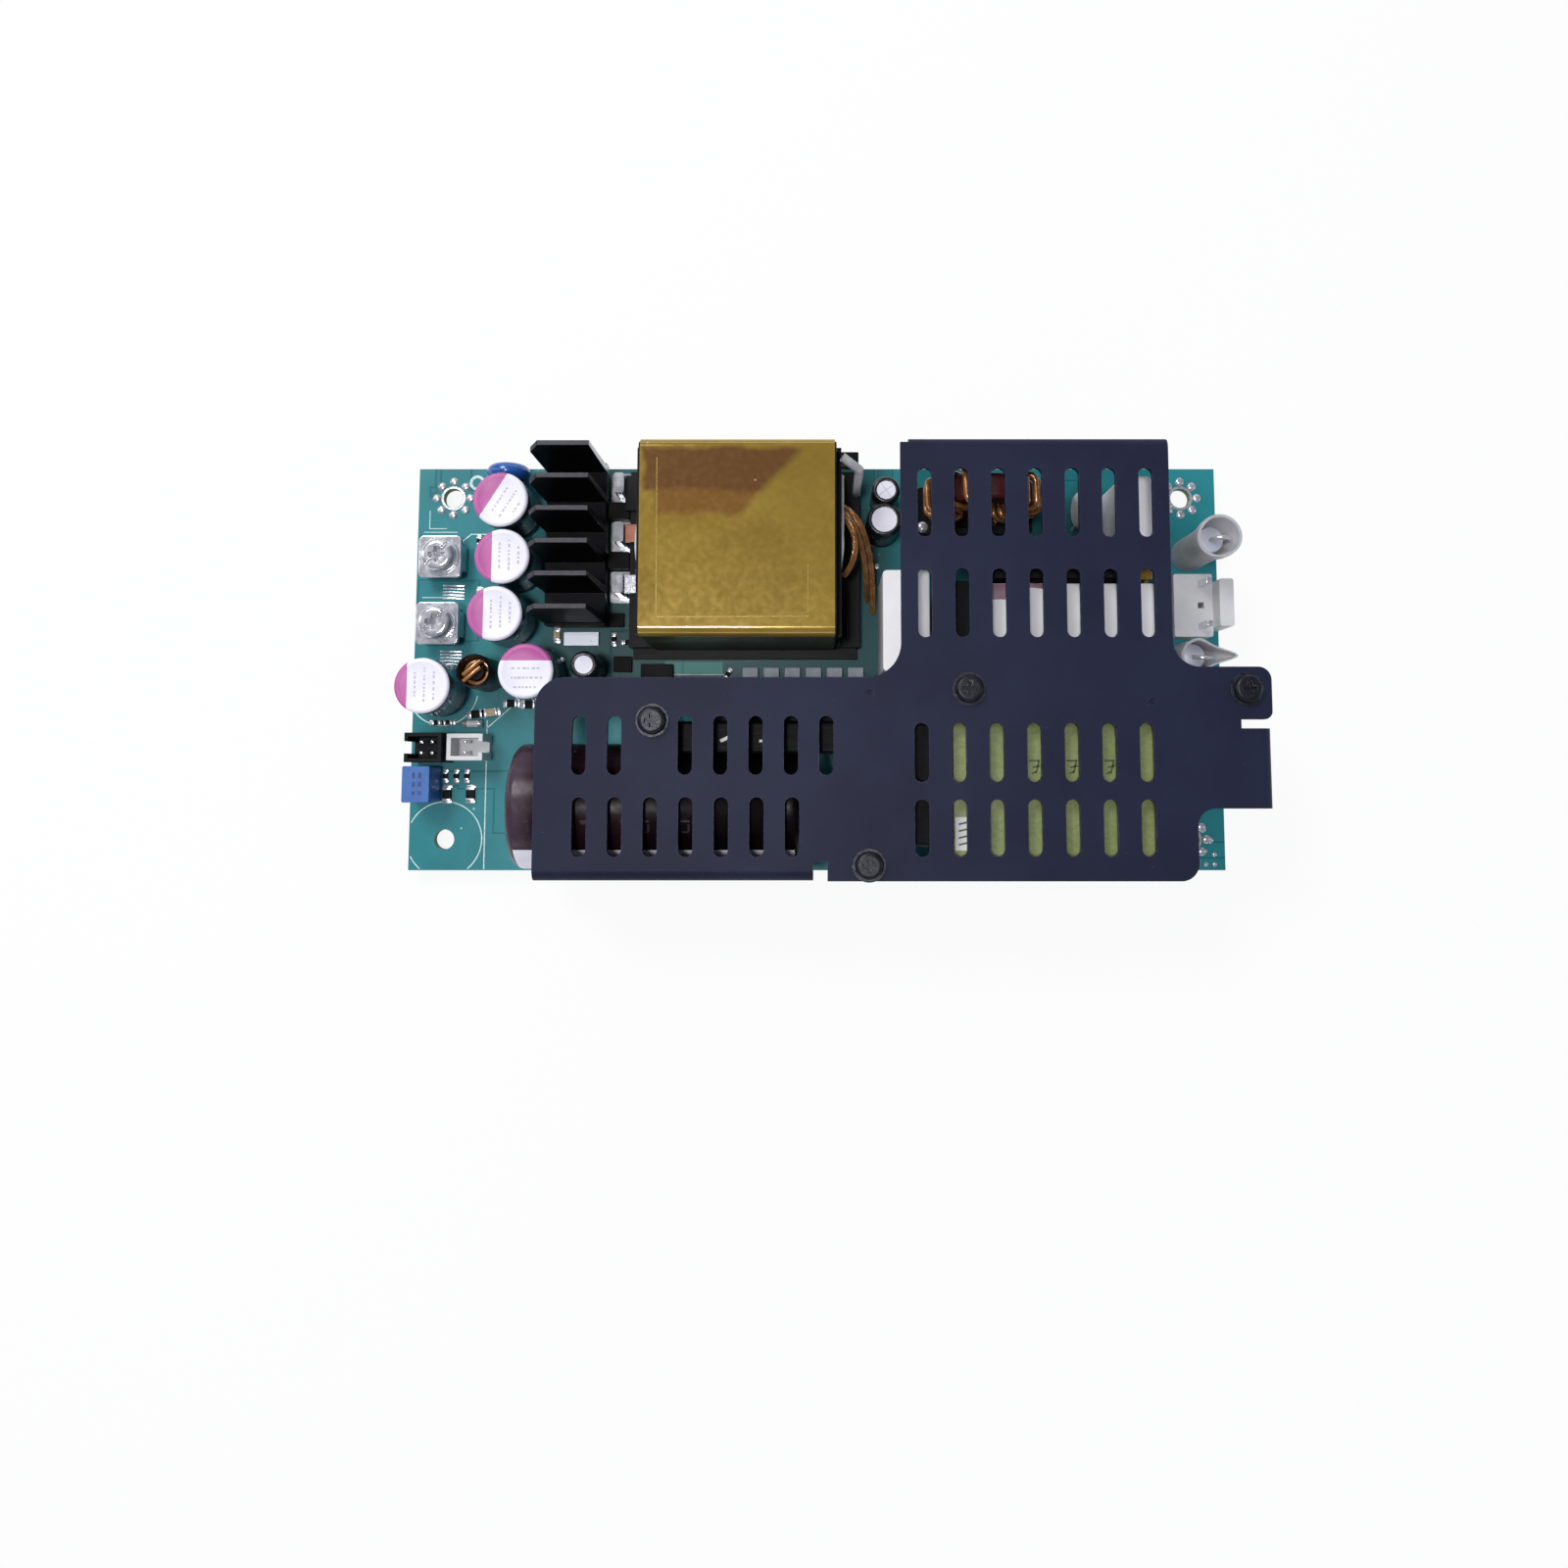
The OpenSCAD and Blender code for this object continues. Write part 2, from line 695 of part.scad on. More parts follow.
module rectifier_heatsink() {
    color("#141417")
        translate([heatsink_at[0], heatsink_at[1], heatsink_z])
            difference() {
                bar_along_x(heatsink_length) heatsink_section();
                translate([-heatsink_length / 2 - lap, 0, heatsink_base + fin_height + lap])
                    rotate([90, 0, 0])
                        linear_extrude(2 * heatsink_width, center = true)
                            polygon([[0, 0], [fin_corner, 0], [0, -2 * fin_corner]]);
            }
}

// Three wide packages under the heatsink and two small ones between the lugs
module rectifier_transistors() {
    color("#1c1c1e") {
        for (i = [-1, 0, 1])
            translate([heatsink_at[0], heatsink_at[1] + i * (package_size[1] + 1.6), board_top])
                rounded_box(package_size, 0.3);
        for (i = [0, 1])
            translate([lug_x - 0.3, (lugs_y[i] + lugs_y[i + 1]) / 2, board_top])
                rounded_box([4, 3.2, 3.6], 0.3);
    }
}

// ---- Output capacitors, choke and terminals ----

module output_capacitor(i) {
    color("#e9e6ee")
        translate([output_capacitors_at[i][0], output_capacitors_at[i][1], board_top])
            can(output_capacitor_d, output_capacitor_h, 0.6, 1.8, 0.7);
}

module output_capacitor_1() { output_capacitor(0); }
module output_capacitor_2() { output_capacitor(1); }
module output_capacitor_3() { output_capacitor(2); }
module output_capacitor_4() { output_capacitor(3); }
module output_capacitor_5() { output_capacitor(4); }

rod_wall = 0.5;
rod_wire_d = 0.9;
rod_coil_r = rod_choke_d / 2 - rod_wall - rod_wire_d / 2 - gap;
rod_core_r = rod_coil_r - rod_wire_d / 2 - gap;
rod_turns = 7;
rod_steps = 14;

module rod_choke_core() {
    color("#2a2725")
        translate([rod_choke_at[0], rod_choke_at[1], board_top])
            cylinder(r = rod_core_r, h = rod_choke_h - 1.6);
}

module rod_choke_winding() {
    rise = rod_choke_h - 3;
    steps = rod_turns * rod_steps;
    path = [for (i = [0:steps])
        let (a = 360 * i / rod_steps)
            [rod_coil_r * cos(a), rod_coil_r * sin(a), rod_wire_d / 2 + gap + rise * i / steps]];
    normals = [for (i = [0:steps]) let (a = 360 * i / rod_steps) [cos(a), sin(a), 0]];
    color("#c07a35")
        translate([rod_choke_at[0], rod_choke_at[1], board_top])
            swept_tube(path, normals, rod_wire_d / 2, 6);
}

module rod_choke_sleeve() {
    color("#141416")
        translate([rod_choke_at[0], rod_choke_at[1], board_top])
            difference() {
                cylinder(d = rod_choke_d, h = rod_choke_h);
                translate([0, 0, -1]) cylinder(d = rod_choke_d - 2 * rod_wall, h = rod_choke_h + 2);
            }
}

terminal_screw_d = 3;
terminal_screw_head_h = 2.2;
terminal_plate = 1;

// A tinned block with a turned down plate on top and a tapped hole
module output_terminal(i) {
    color("#d2d0cb")
        translate([terminals_at[i][0], terminals_at[i][1], board_top])
            difference() {
                union() {
                    rounded_box([terminal_side - 1.4, terminal_side - 1.4, terminal_h], 0.4);
                    translate([0, 0, terminal_h - terminal_plate])
                        rounded_box([terminal_side, terminal_side, terminal_plate], 1);
                    for (side = [-1, 1])
                        translate([side * (terminal_side / 2 - 0.4), 0, 0])
                            post([0.8, terminal_side - 3, terminal_h - terminal_plate / 2]);
                }
                translate([0, 0, -1]) cylinder(d = terminal_screw_d + gap, h = terminal_h + 2);
            }
}

module output_terminal_positive() { output_terminal(0); }
module output_terminal_negative() { output_terminal(1); }

module terminal_screws() {
    color("#c9c7c3")
        for (at = terminals_at)
            translate([at[0], at[1], board_top + terminal_h])
                cross_screw(terminal_screw_head_d, terminal_screw_head_h, terminal_screw_d, terminal_h - 0.4, true);
}

// ---- Headers and trimmer ----

signal_size = [6.8, 5.4, 7.4];
signal_at = [-71.7, -15.4];
fan_size = [6.6, 4.9, 6.4];
fan_at = [-64.4, -15.3];
fan_pitch = 2;
pin_side = 0.5;
floor_h = 1.6;

// A shrouded header: a floor with an open box of walls, notched on its -X side
module shroud(size, wall, notch) {
    difference() {
        post(size);
        translate([-size[0] / 2 + wall, -size[1] / 2 + wall, floor_h])
            cube([size[0] - 2 * wall, size[1] - 2 * wall, size[2]]);
        if (notch > 0)
            translate([-size[0], -notch / 2, floor_h]) cube([size[0], notch, size[2]]);
    }
}

// A square pin that stands in a header's floor
module header_pin(h) {
    post([pin_side, pin_side, h]);
}

signal_pins_at = [for (ix = [-1, 1], iy = [-1, 1])
    [signal_at[0] + 0.4 + ix * signal_pitch / 2, signal_at[1] + iy * signal_pitch / 2]];
fan_pins_at = [for (iy = [-1, 1]) [fan_at[0] - 0.3, fan_at[1] + iy * fan_pitch / 2]];

module pin_holes(pins_at) {
    for (at = pins_at)
        translate([at[0], at[1], board_top - 1]) post([pin_side, pin_side, floor_h + 2]);
}

module signal_header() {
    color("#17181b")
        difference() {
            translate([signal_at[0], signal_at[1], board_top]) shroud(signal_size, 0.7, 2.2);
            pin_holes(signal_pins_at);
        }
}

module signal_header_pins() {
    color("#d8d4c8")
        for (at = signal_pins_at) translate([at[0], at[1], board_top]) header_pin(signal_size[2] - 1);
}

module fan_header() {
    color("#e6e4dc")
        difference() {
            translate([fan_at[0], fan_at[1], board_top]) shroud(fan_size, 0.8, 0);
            translate([fan_at[0] + 0.6, fan_at[1] - 1, board_top + floor_h])
                cube([fan_size[0], 2, fan_size[2]]);
            pin_holes(fan_pins_at);
        }
}

module fan_header_pins() {
    color("#d8d4c8")
        for (at = fan_pins_at) translate([at[0], at[1], board_top]) header_pin(fan_size[2] - 1);
}

trimmer_at = [-72.9, -22.1];
trimmer_screw_d = 2.2;
trimmer_screw_h = 1.2;
trimmer_slot = [0.6, 0.5];
trimmer_screw_z = board_top + 4.6;

module trimmer_body() {
    color("#2f62b8")
        translate([trimmer_at[0], trimmer_at[1], board_top])
            difference() {
                rounded_box(trimmer_size, 0.3);
                translate([-trimmer_size[0] / 2 + trimmer_screw_h, 0, trimmer_screw_z - board_top])
                    rotate([0, -90, 0]) cylinder(d = trimmer_screw_d + 2 * gap, h = 2 * trimmer_screw_h);
            }
}

// The setting screw lies in the trimmer's outer side, with its slot outwards
module trimmer_screw() {
    color("#b8923a")
        translate([trimmer_at[0] - trimmer_size[0] / 2 + trimmer_screw_h, trimmer_at[1], trimmer_screw_z])
            rotate([0, -90, 0])
                difference() {
                    cylinder(d = trimmer_screw_d, h = trimmer_screw_h);
                    translate([0, 0, trimmer_screw_h])
                        cube([trimmer_slot[1], 2 * trimmer_screw_d, 2 * trimmer_slot[0]], center = true);
                }
}

// ---- Bulk, bias and film capacitors ----

bulk_z = board_top + bulk_d / 2 + 0.2;
bulk_edge = 1.6;
bulk_crimp_r = 1;
bulk_crimp_inset = 5;
bulk_rim = 2.4;
bulk_lead_pitch = 10;
bulk_lead_run = 2.4;
bulk_right = bulk_at[0] + bulk_length / 2;

module bulk_capacitor() {
    color("#3a1f24")
        translate([bulk_at[0] - bulk_length / 2, bulk_at[1], bulk_z])
            rotate([0, 90, 0])
                rotate_extrude()
                    difference() {
                        union() {
                            translate([0, bulk_edge]) square([bulk_d / 2, bulk_length - 2 * bulk_edge]);
                            square([bulk_d / 2 - bulk_edge, bulk_length]);
                            for (z = [bulk_edge, bulk_length - bulk_edge])
                                translate([bulk_d / 2 - bulk_edge, z]) circle(bulk_edge, $fn = 32);
                        }
                        // Crimp near the lead end, and the bare rims left by the sleeve
                        translate([bulk_d / 2 + bulk_crimp_r / 2, bulk_length - bulk_crimp_inset])
                            circle(bulk_crimp_r, $fn = 32);
                        translate([0, -1]) square([bulk_d / 2 - bulk_rim, 1.3]);
                        translate([0, bulk_length - 0.5]) square([bulk_d / 2 - bulk_rim, 1]);
                    }
}

module bulk_capacitor_leads() {
    color("#cfcdc8")
        for (side = [-1, 1])
            let (y = bulk_at[1] + side * bulk_lead_pitch / 2)
                wire([
                    [bulk_right - 0.5, y, bulk_z],
                    [bulk_right + bulk_lead_run, y, bulk_z],
                    [bulk_right + bulk_lead_run, y, board_top]
                ], bulk_lead_d);
}

bias_capacitors_at = [[-42, -0.6], [12.6, 32.9], [12.3, 26.3]];
bias_capacitors_d = [5, 5, 6.3];
bias_capacitor_h = 11;

module bias_capacitors() {
    color("#26262b")
        for (i = [0:2])
            translate([bias_capacitors_at[i][0], bias_capacitors_at[i][1], board_top])
                can(bias_capacitors_d[i], bias_capacitor_h, 0.4, 1.6, 0.5);
}

film_capacitor_at = [15.75, 6.6];
line_capacitor_at = [44.4, 7];
corner_capacitor_at = [57.4, 27.4];
corner_capacitor_size = [5.6, 11.6, 14];

module film_capacitor() {
    color("#ecebe8")
        translate([film_capacitor_at[0], film_capacitor_at[1], board_top]) rounded_box(film_capacitor_size, 0.8);
}

module line_capacitor() {
    color("#efe6e8")
        translate([line_capacitor_at[0], line_capacitor_at[1], board_top]) rounded_box(line_capacitor_size, 0.8);
}

module corner_capacitor() {
    color("#ecebe8")
        translate([corner_capacitor_at[0], corner_capacitor_at[1], board_top])
            rounded_box(corner_capacitor_size, 0.8);
}

// A coated disc that stands on edge on two leads
module disc(at, along_x, d, t, stand) {
    translate([at[0], at[1], board_top + stand + d / 2])
        rotate([0, 0, along_x ? 0 : 90]) {
            rotate([90, 0, 0])
                rotate_extrude()
                    intersection() {
                        union() {
                            translate([0, -t / 2]) square([d / 2 - t / 2, t]);
                            translate([d / 2 - t / 2, 0]) circle(t / 2, $fn = 32);
                        }
                        translate([0, -t]) square([d, 2 * t]);
                    }
            for (side = [-1, 1])
                translate([side * d * 0.25, 0, -d / 2 - stand])
                    cylinder(d = 0.7, h = stand + d / 2, $fn = 24);
        }
}

disc_at = [-57.8, 36];
disc_stand = 0.8;
varistor_at = [48.9, 28.2];
varistor_d = 7;
varistor_t = 3.2;
varistor_stand = 4.6;

module disc_capacitor() {
    color("#2a64b4") disc(disc_at, true, disc_d, disc_t, disc_stand);
}

module varistor() {
    color("#e9e7e2") disc(varistor_at, false, varistor_d, varistor_t, varistor_stand);
}

// ---- Small surface parts ----

shunt_at = [-44.5, 5.2];
chip_blocks_at = [for (i = [0:5]) [-12.5 + i * 3.96, -1.2]];

module shunt_resistor() {
    color("#c9cbd0")
        translate([shunt_at[0], shunt_at[1], board_top]) rounded_box([6.6, 2.6, 0.9], 0.2);
}

module chip_blocks() {
    color("#8f9299")
        for (at = chip_blocks_at)
            translate([at[0], at[1], board_top]) rounded_box([2.9, 1.8, 1.4], 0.2);
}

control_chips_at = [[-30.1, -1.2], [-36.6, 0.4], [-38, 8.8], [4.8, -7.2]];
control_chips_size = [[6, 3.2, 1.5], [3.4, 3, 1.1], [3, 2.6, 1.1], [5, 4, 1.5]];

module control_chips() {
    color("#1d1d20")
        for (i = [0:3])
            translate([control_chips_at[i][0], control_chips_at[i][1], board_top])
                rounded_box(control_chips_size[i], 0.2);
}

// ---- Input filter ----

toroid_at = [29.9, 29.6];
toroid_base_h = 1.8;
toroid_coat = toroid_wire_d + gap;
toroid_z = board_top + toroid_base_h + toroid_d / 2 + toroid_coat;
toroid_mean = (toroid_d + toroid_bore) / 4;
toroid_steps = 14;
toroid_edge = 1;
winding_sweep = 134;
winding_turn = -18;
saddle_width = 4.6;
saddle_x = toroid_d / 2 * sin(winding_turn);

module common_mode_core() {
    color("#5a2a22")
        translate([toroid_at[0], toroid_at[1], toroid_z])
            rotate([90, 0, 0])
                rotate_extrude($fn = 72)
                    translate([toroid_mean, 0])
                        rounded_rectangle([(toroid_d - toroid_bore) / 2, toroid_t], toroid_edge);
}

// One winding is a wire that loops round the ring's section while it goes
// round the ring: each loop follows a rounded rectangle a little outside the core
module toroid_winding(middle) {
    half_w = (toroid_d - toroid_bore) / 4 + gap + toroid_wire_d / 2;
    half_t = toroid_t / 2 + gap + toroid_wire_d / 2;
    corner = 0.35;
    steps = toroid_turns * toroid_steps;
    function squared(v) = sign(v) * pow(abs(v), corner);
    function section(a) = [half_w * squared(cos(a)), half_t * squared(sin(a))];
    places = [for (i = [0:steps])
        let (
            ring = middle + winding_sweep * (i / steps - 0.5),
            s = section(360 * (i + 0.5) / toroid_steps)
        ) [(toroid_mean + s[0]) * cos(ring), s[1], (toroid_mean + s[0]) * sin(ring)]];
    normals = [for (i = [0:steps])
        let (
            ring = middle + winding_sweep * (i / steps - 0.5),
            a = 360 * (i + 0.5) / toroid_steps
        ) [cos(a) * cos(ring), sin(a), cos(a) * sin(ring)]];
    swept_tube(places, normals, toroid_wire_d / 2, 6);
}

module common_mode_windings() {
    color("#b4693a")
        translate([toroid_at[0], toroid_at[1], toroid_z])
            for (middle = [0, 180]) toroid_winding(middle + winding_turn);
}

module common_mode_base() {
    color("#17181b")
        translate([toroid_at[0], toroid_at[1], board_top])
            difference() {
                union() {
                    rounded_box([toroid_d + 3, toroid_t + 4.4, toroid_base_h], 1);
                    translate([saddle_x, 0, 0])
                        post([saddle_width, toroid_t + 2, toroid_base_h + toroid_coat + 0.8]);
                }
                translate([0, 0, toroid_z - board_top])
                    rotate([90, 0, 0]) cylinder(d = toroid_d + 2 * gap, h = 2 * toroid_t, center = true, $fn = 72);
            }
}

filter_choke_at = [44.2, 17.3];
filter_choke_size = [29.4, 6.8, 17.6];
filter_leg = 5;

// A closed rectangular core that stands upright, with a coil on its upper bar
module filter_choke_core() {
    color("#222124")
        translate([filter_choke_at[0], filter_choke_at[1], board_top])
            difference() {
                rounded_box(filter_choke_size, 0.8);
                translate([0, 0, filter_choke_size[2] / 2])
                    cube([
                        filter_choke_size[0] - 2 * filter_leg, filter_choke_size[1] * 2,
                        filter_choke_size[2] - 2 * filter_leg
                    ], center = true);
            }
}

module filter_choke_winding() {
    color("#b07a2c")
        translate([
            filter_choke_at[0] + filter_choke_size[0] / 2 - filter_leg / 2, filter_choke_at[1],
            board_top + filter_choke_size[2] / 2
        ])
            difference() {
                linear_extrude(filter_choke_size[2] - 2 * filter_leg - 1, center = true)
                    difference() {
                        rounded_rectangle([filter_leg + 1.6, filter_choke_size[1] + 1.2], 1);
                        square([filter_leg + gap, filter_choke_size[1] + gap], center = true);
                    }
            }
}

module boost_choke_core() {
    ferrite_core(boost_choke_at, boost_choke_length, boost_choke_width, boost_choke_height, boost_post_r);
}

module boost_choke_bobbin() {
    core_bobbin(
        boost_choke_at, boost_choke_length, boost_choke_width, boost_choke_height,
        boost_post_r, boost_rail, boost_rail_h
    );
}

module boost_choke_tape() {
    color("#8b9a58") {
        core_tape(boost_choke_at, boost_choke_length, boost_choke_width, boost_choke_height);
        core_winding(boost_choke_at, boost_choke_length, boost_choke_width, boost_choke_height, boost_post_r);
    }
}

bridge_at = [17.6, -22];
bridge_size = [4, 21, 17];
bridge_lead_h = 3;
bridge_lead_pitch = 5;

module bridge_rectifier() {
    color("#151517")
        translate([bridge_at[0], bridge_at[1], board_top]) {
            translate([0, 0, bridge_lead_h])
                rotate([90, 0, 90])
                    linear_extrude(bridge_size[0], center = true)
                        difference() {
                            translate([0, bridge_size[2] / 2])
                                rounded_rectangle([bridge_size[1], bridge_size[2]], 0.6);
                            translate([0, bridge_size[2] - 3.6]) circle(d = 3.2);
                        }
            for (i = [-1.5, -0.5, 0.5, 1.5])
                translate([0, i * bridge_lead_pitch, 0]) post([0.8, 1.4, bridge_lead_h + lap]);
        }
}

primary_heatsink_size = [30, 2, 20];
primary_heatsink_at = [-9, -12.2];
primary_transistor_size = [10, 4.4, 15];
primary_lead_h = 3.4;
primary_lead_pitch = 2.54;
// Centres of the two transistors on the heatsink, and of a diode that stands
// alone, turned across the board
primary_transistors_at = [for (i = [-1, 1]) [
    primary_heatsink_at[0] + i * 7,
    primary_heatsink_at[1] + primary_heatsink_size[1] / 2 + primary_transistor_size[1] / 2,
    0
]];
boost_diode_at = [25.2, 8.4, 90];

primary_flange = 3.6;
primary_foot = 4;

// An upright plate with two feet that stand on the board, folded over at its
// top towards the bulk capacitor
module primary_heatsink() {
    color("#2b2c31")
        translate([primary_heatsink_at[0], primary_heatsink_at[1], board_top])
            difference() {
                bar_along_x(primary_heatsink_size[0])
                    difference() {
                        translate([primary_heatsink_size[1] / 2, primary_heatsink_size[2] / 2])
                            translate([-primary_flange / 2 - primary_heatsink_size[1] / 2, 0])
                                rounded_rectangle([
                                    primary_flange + primary_heatsink_size[1], primary_heatsink_size[2]
                                ], 0.6);
                        translate([-primary_flange - primary_heatsink_size[1], -1])
                            square([
                                primary_flange + primary_heatsink_size[1] / 2,
                                primary_heatsink_size[2] + 1 - primary_heatsink_size[1]
                            ]);
                    }
                translate([-primary_heatsink_size[0] / 2 + primary_foot, -primary_heatsink_size[1], -1])
                    cube([
                        primary_heatsink_size[0] - 2 * primary_foot, 2 * primary_heatsink_size[1],
                        primary_foot - 1
                    ]);
            }
}

module primary_transistors() {
    color("#1a1a1c")
        for (at = concat(primary_transistors_at, [boost_diode_at]))
            translate([at[0], at[1], board_top])
                rotate(at[2]) {
                    translate([0, 0, primary_lead_h]) rounded_box(primary_transistor_size, 0.3);
                    for (k = [-1, 0, 1])
                        translate([k * primary_lead_pitch, 0, 0]) post([0.8, 0.6, primary_lead_h + lap]);
                }
}

// ---- Mains input ----

mains_at = [70.2, 11.1];
mains_size = [7.2, 11.8, 4.4];
mains_wall = [2.6, 8.8, 8.4];
mains_pin_side = 1.1;
mains_pin_h = 9.4;
mains_pins_at = [for (i = [-1, 1]) [mains_at[0] + 1.4, mains_at[1] + i * header_pitch]];

module mains_header() {
    color("#e4e3df")
        difference() {
            union() {
                translate([mains_at[0], mains_at[1], board_top]) rounded_box(mains_size, 0.4);
                translate([mains_at[0] + mains_size[0] / 2 + mains_wall[0] / 2 - lap, mains_at[1], board_top])
                    rounded_box(mains_wall, 0.4);
            }
            for (i = [-1:1])
                translate([mains_pins_at[0][0], mains_at[1] + i * header_pitch, board_top + mains_size[2] / 2])
                    cube([mains_pin_side, mains_pin_side, mains_size[2] + 1], center = true);
        }
}

module mains_header_pins() {
    color("#d0cdc6")
        for (at = mains_pins_at)
            translate([at[0], at[1], board_top]) post([mains_pin_side, mains_pin_side, mains_pin_h]);
}

fuses_at = [[70.8, 21.4], [68.8, 1]];
fuse_wall = 0.4;
fuse_body_d = 4.6;
fuse_lower_h = 12;
fuse_lead_d = 0.8;
fuse_body_h = [fuse_sleeve_h - 3.5, fuse_lower_h - 3];
fuse_shift = 0.5;
fuse_mouth_d = 8.2;
fuse_mouth_z = [10, 16.5];
fuse_tail = [7.4, 1.8, 6.5];

// Each fuse stands on one end; the lead of its upper end turns back down
// beside it, inside the same sleeve
module fuse_bodies() {
    color("#cdb99a")
        for (i = [0, 1])
            translate([fuses_at[i][0] - fuse_shift, fuses_at[i][1], board_top])
                cylinder(d = fuse_body_d, h = fuse_body_h[i]);
}

module fuse_leads() {
    return_x = fuse_body_d / 2 - fuse_shift + gap + fuse_lead_d / 2;
    color("#c4c4c2")
        for (i = [0, 1])
            translate([fuses_at[i][0], fuses_at[i][1], board_top])
                wire([
                    [-fuse_shift, 0, fuse_body_h[i]],
                    [-fuse_shift, 0, fuse_body_h[i] + 1.6],
                    [return_x, 0, fuse_body_h[i] + 1.6],
                    [return_x, 0, 0]
                ], fuse_lead_d);
}

// A sleeve's outline turned round its fuse: a straight tube that widens
// between two heights to its mouth
module sleeve(d, mouth_d, widen, h) {
    rotate_extrude()
        difference() {
            polygon([[0, 0], [d / 2, 0], [d / 2, widen[0]], [mouth_d / 2, widen[1]], [mouth_d / 2, h], [0, h]]);
            translate([-fuse_wall, -lap])
                polygon([
                    [0, 0], [d / 2, 0], [d / 2, widen[0]], [mouth_d / 2, widen[1]],
                    [mouth_d / 2, h + 1], [0, h + 1]
                ]);
        }
}

module fuse_sleeves() {
    color("#eeeeec") {
        translate([fuses_at[0][0], fuses_at[0][1], board_top])
            sleeve(fuse_sleeve_d, fuse_mouth_d, fuse_mouth_z, fuse_sleeve_h);
        // The lower sleeve has a flat welded tail along its outer side
        translate([fuses_at[1][0], fuses_at[1][1], board_top]) {
            sleeve(fuse_sleeve_d, fuse_sleeve_d, [fuse_lower_h / 3, fuse_lower_h / 2], fuse_lower_h);
            hull() {
                translate([fuse_sleeve_d / 2 - fuse_wall / 2, 0, fuse_lower_h - fuse_tail[2]])
                    post([fuse_wall, 2 * fuse_tail[1], fuse_tail[2]]);
                translate([fuse_tail[0] - 0.4, -0.4, fuse_lower_h - fuse_tail[2] / 2])
                    post([0.8, fuse_tail[1], fuse_tail[2] / 2]);
            }
        }
    }
}

// ---- Solder joints under the board ----

function pair(at, pitch) = [at - [pitch / 2, 0], at + [pitch / 2, 0]];
function pair_y(at, pitch) = [at - [0, pitch / 2], at + [0, pitch / 2]];

joints_at = concat(
    [for (at = output_capacitors_at) each pair(at, 5)],
    [for (at = terminals_at) each pair(at, 5)],
    [for (y = lugs_y) [lug_x, y]],
    [for (y = [-12, -4, 4, 12]) [transformer_right + 2.4, transformer_at[1] + y]],
    pair_y([bulk_right + bulk_lead_run, bulk_at[1]], bulk_lead_pitch),
    pair_y(film_capacitor_at, 15),
    pair(line_capacitor_at, 22.5),
    pair_y(corner_capacitor_at, 7.5),
    pair_y(varistor_at, 5),
    pair(toroid_at, 16),
    pair(filter_choke_at, 20),
    [for (i = [-1.5, -0.5, 0.5, 1.5]) bridge_at + [0, 5 * i]],
    pair_y(boost_choke_at + [boost_choke_length / 2, 0], boost_pin_pitch),
    pair_y(boost_choke_at - [boost_choke_length / 2, 0], boost_pin_pitch),
    [for (at = primary_transistors_at, k = [-1, 0, 1]) [at[0] + k * primary_lead_pitch, at[1]]],
    [for (k = [-1, 0, 1]) [boost_diode_at[0], boost_diode_at[1] + k * primary_lead_pitch]],
    mains_pins_at,
    fuses_at
);

module solder_joints() {
    color("#c9ccd0")
        for (at = joints_at)
            translate([at[0], at[1], -joint_h]) cylinder(r1 = 0.5, r2 = 1.1, h = joint_h, $fn = 24);
}

circuit_board();
safety_cover();
cover_screws();
cover_standoffs();
standoff_screws();
solder_joints();
rectifier_heatsink();
rectifier_transistors();
transformer_core();
transformer_bobbin();
transformer_winding();
transformer_tape();
transformer_leads();
lead_sleeve();
secondary_foils();
secondary_lugs();
output_capacitor_1();
output_capacitor_2();
output_capacitor_3();
output_capacitor_4();
output_capacitor_5();
rod_choke_core();
rod_choke_winding();
rod_choke_sleeve();
output_terminal_positive();
output_terminal_negative();
terminal_screws();
signal_header();
signal_header_pins();
fan_header();
fan_header_pins();
trimmer_body();
trimmer_screw();
bulk_capacitor();
bulk_capacitor_leads();
bias_capacitors();
shunt_resistor();
chip_blocks();
control_chips();
disc_capacitor();
film_capacitor();
line_capacitor();
corner_capacitor();
varistor();
common_mode_core();
common_mode_windings();
common_mode_base();
filter_choke_core();
filter_choke_winding();
boost_choke_core();
boost_choke_bobbin();
boost_choke_tape();
bridge_rectifier();
primary_heatsink();
primary_transistors();
mains_header();
mains_header_pins();
fuse_bodies();
fuse_leads();
fuse_sleeves();
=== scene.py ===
# %% [markdown]
# # Dressing an open frame power supply
# The CAD model already has every part of this supply at its true size and place. This script gives
# those parts the surfaces, small marks and fine wires that a real unit has. Each step first says what
# the real thing is and how it can be made, and then makes it. Lengths in the script are written in
# millimetres and turned into metres where a shape is made, because the parts are small.

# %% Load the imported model
import math
import random

import bmesh
import bpy
from mathutils import Matrix, Vector


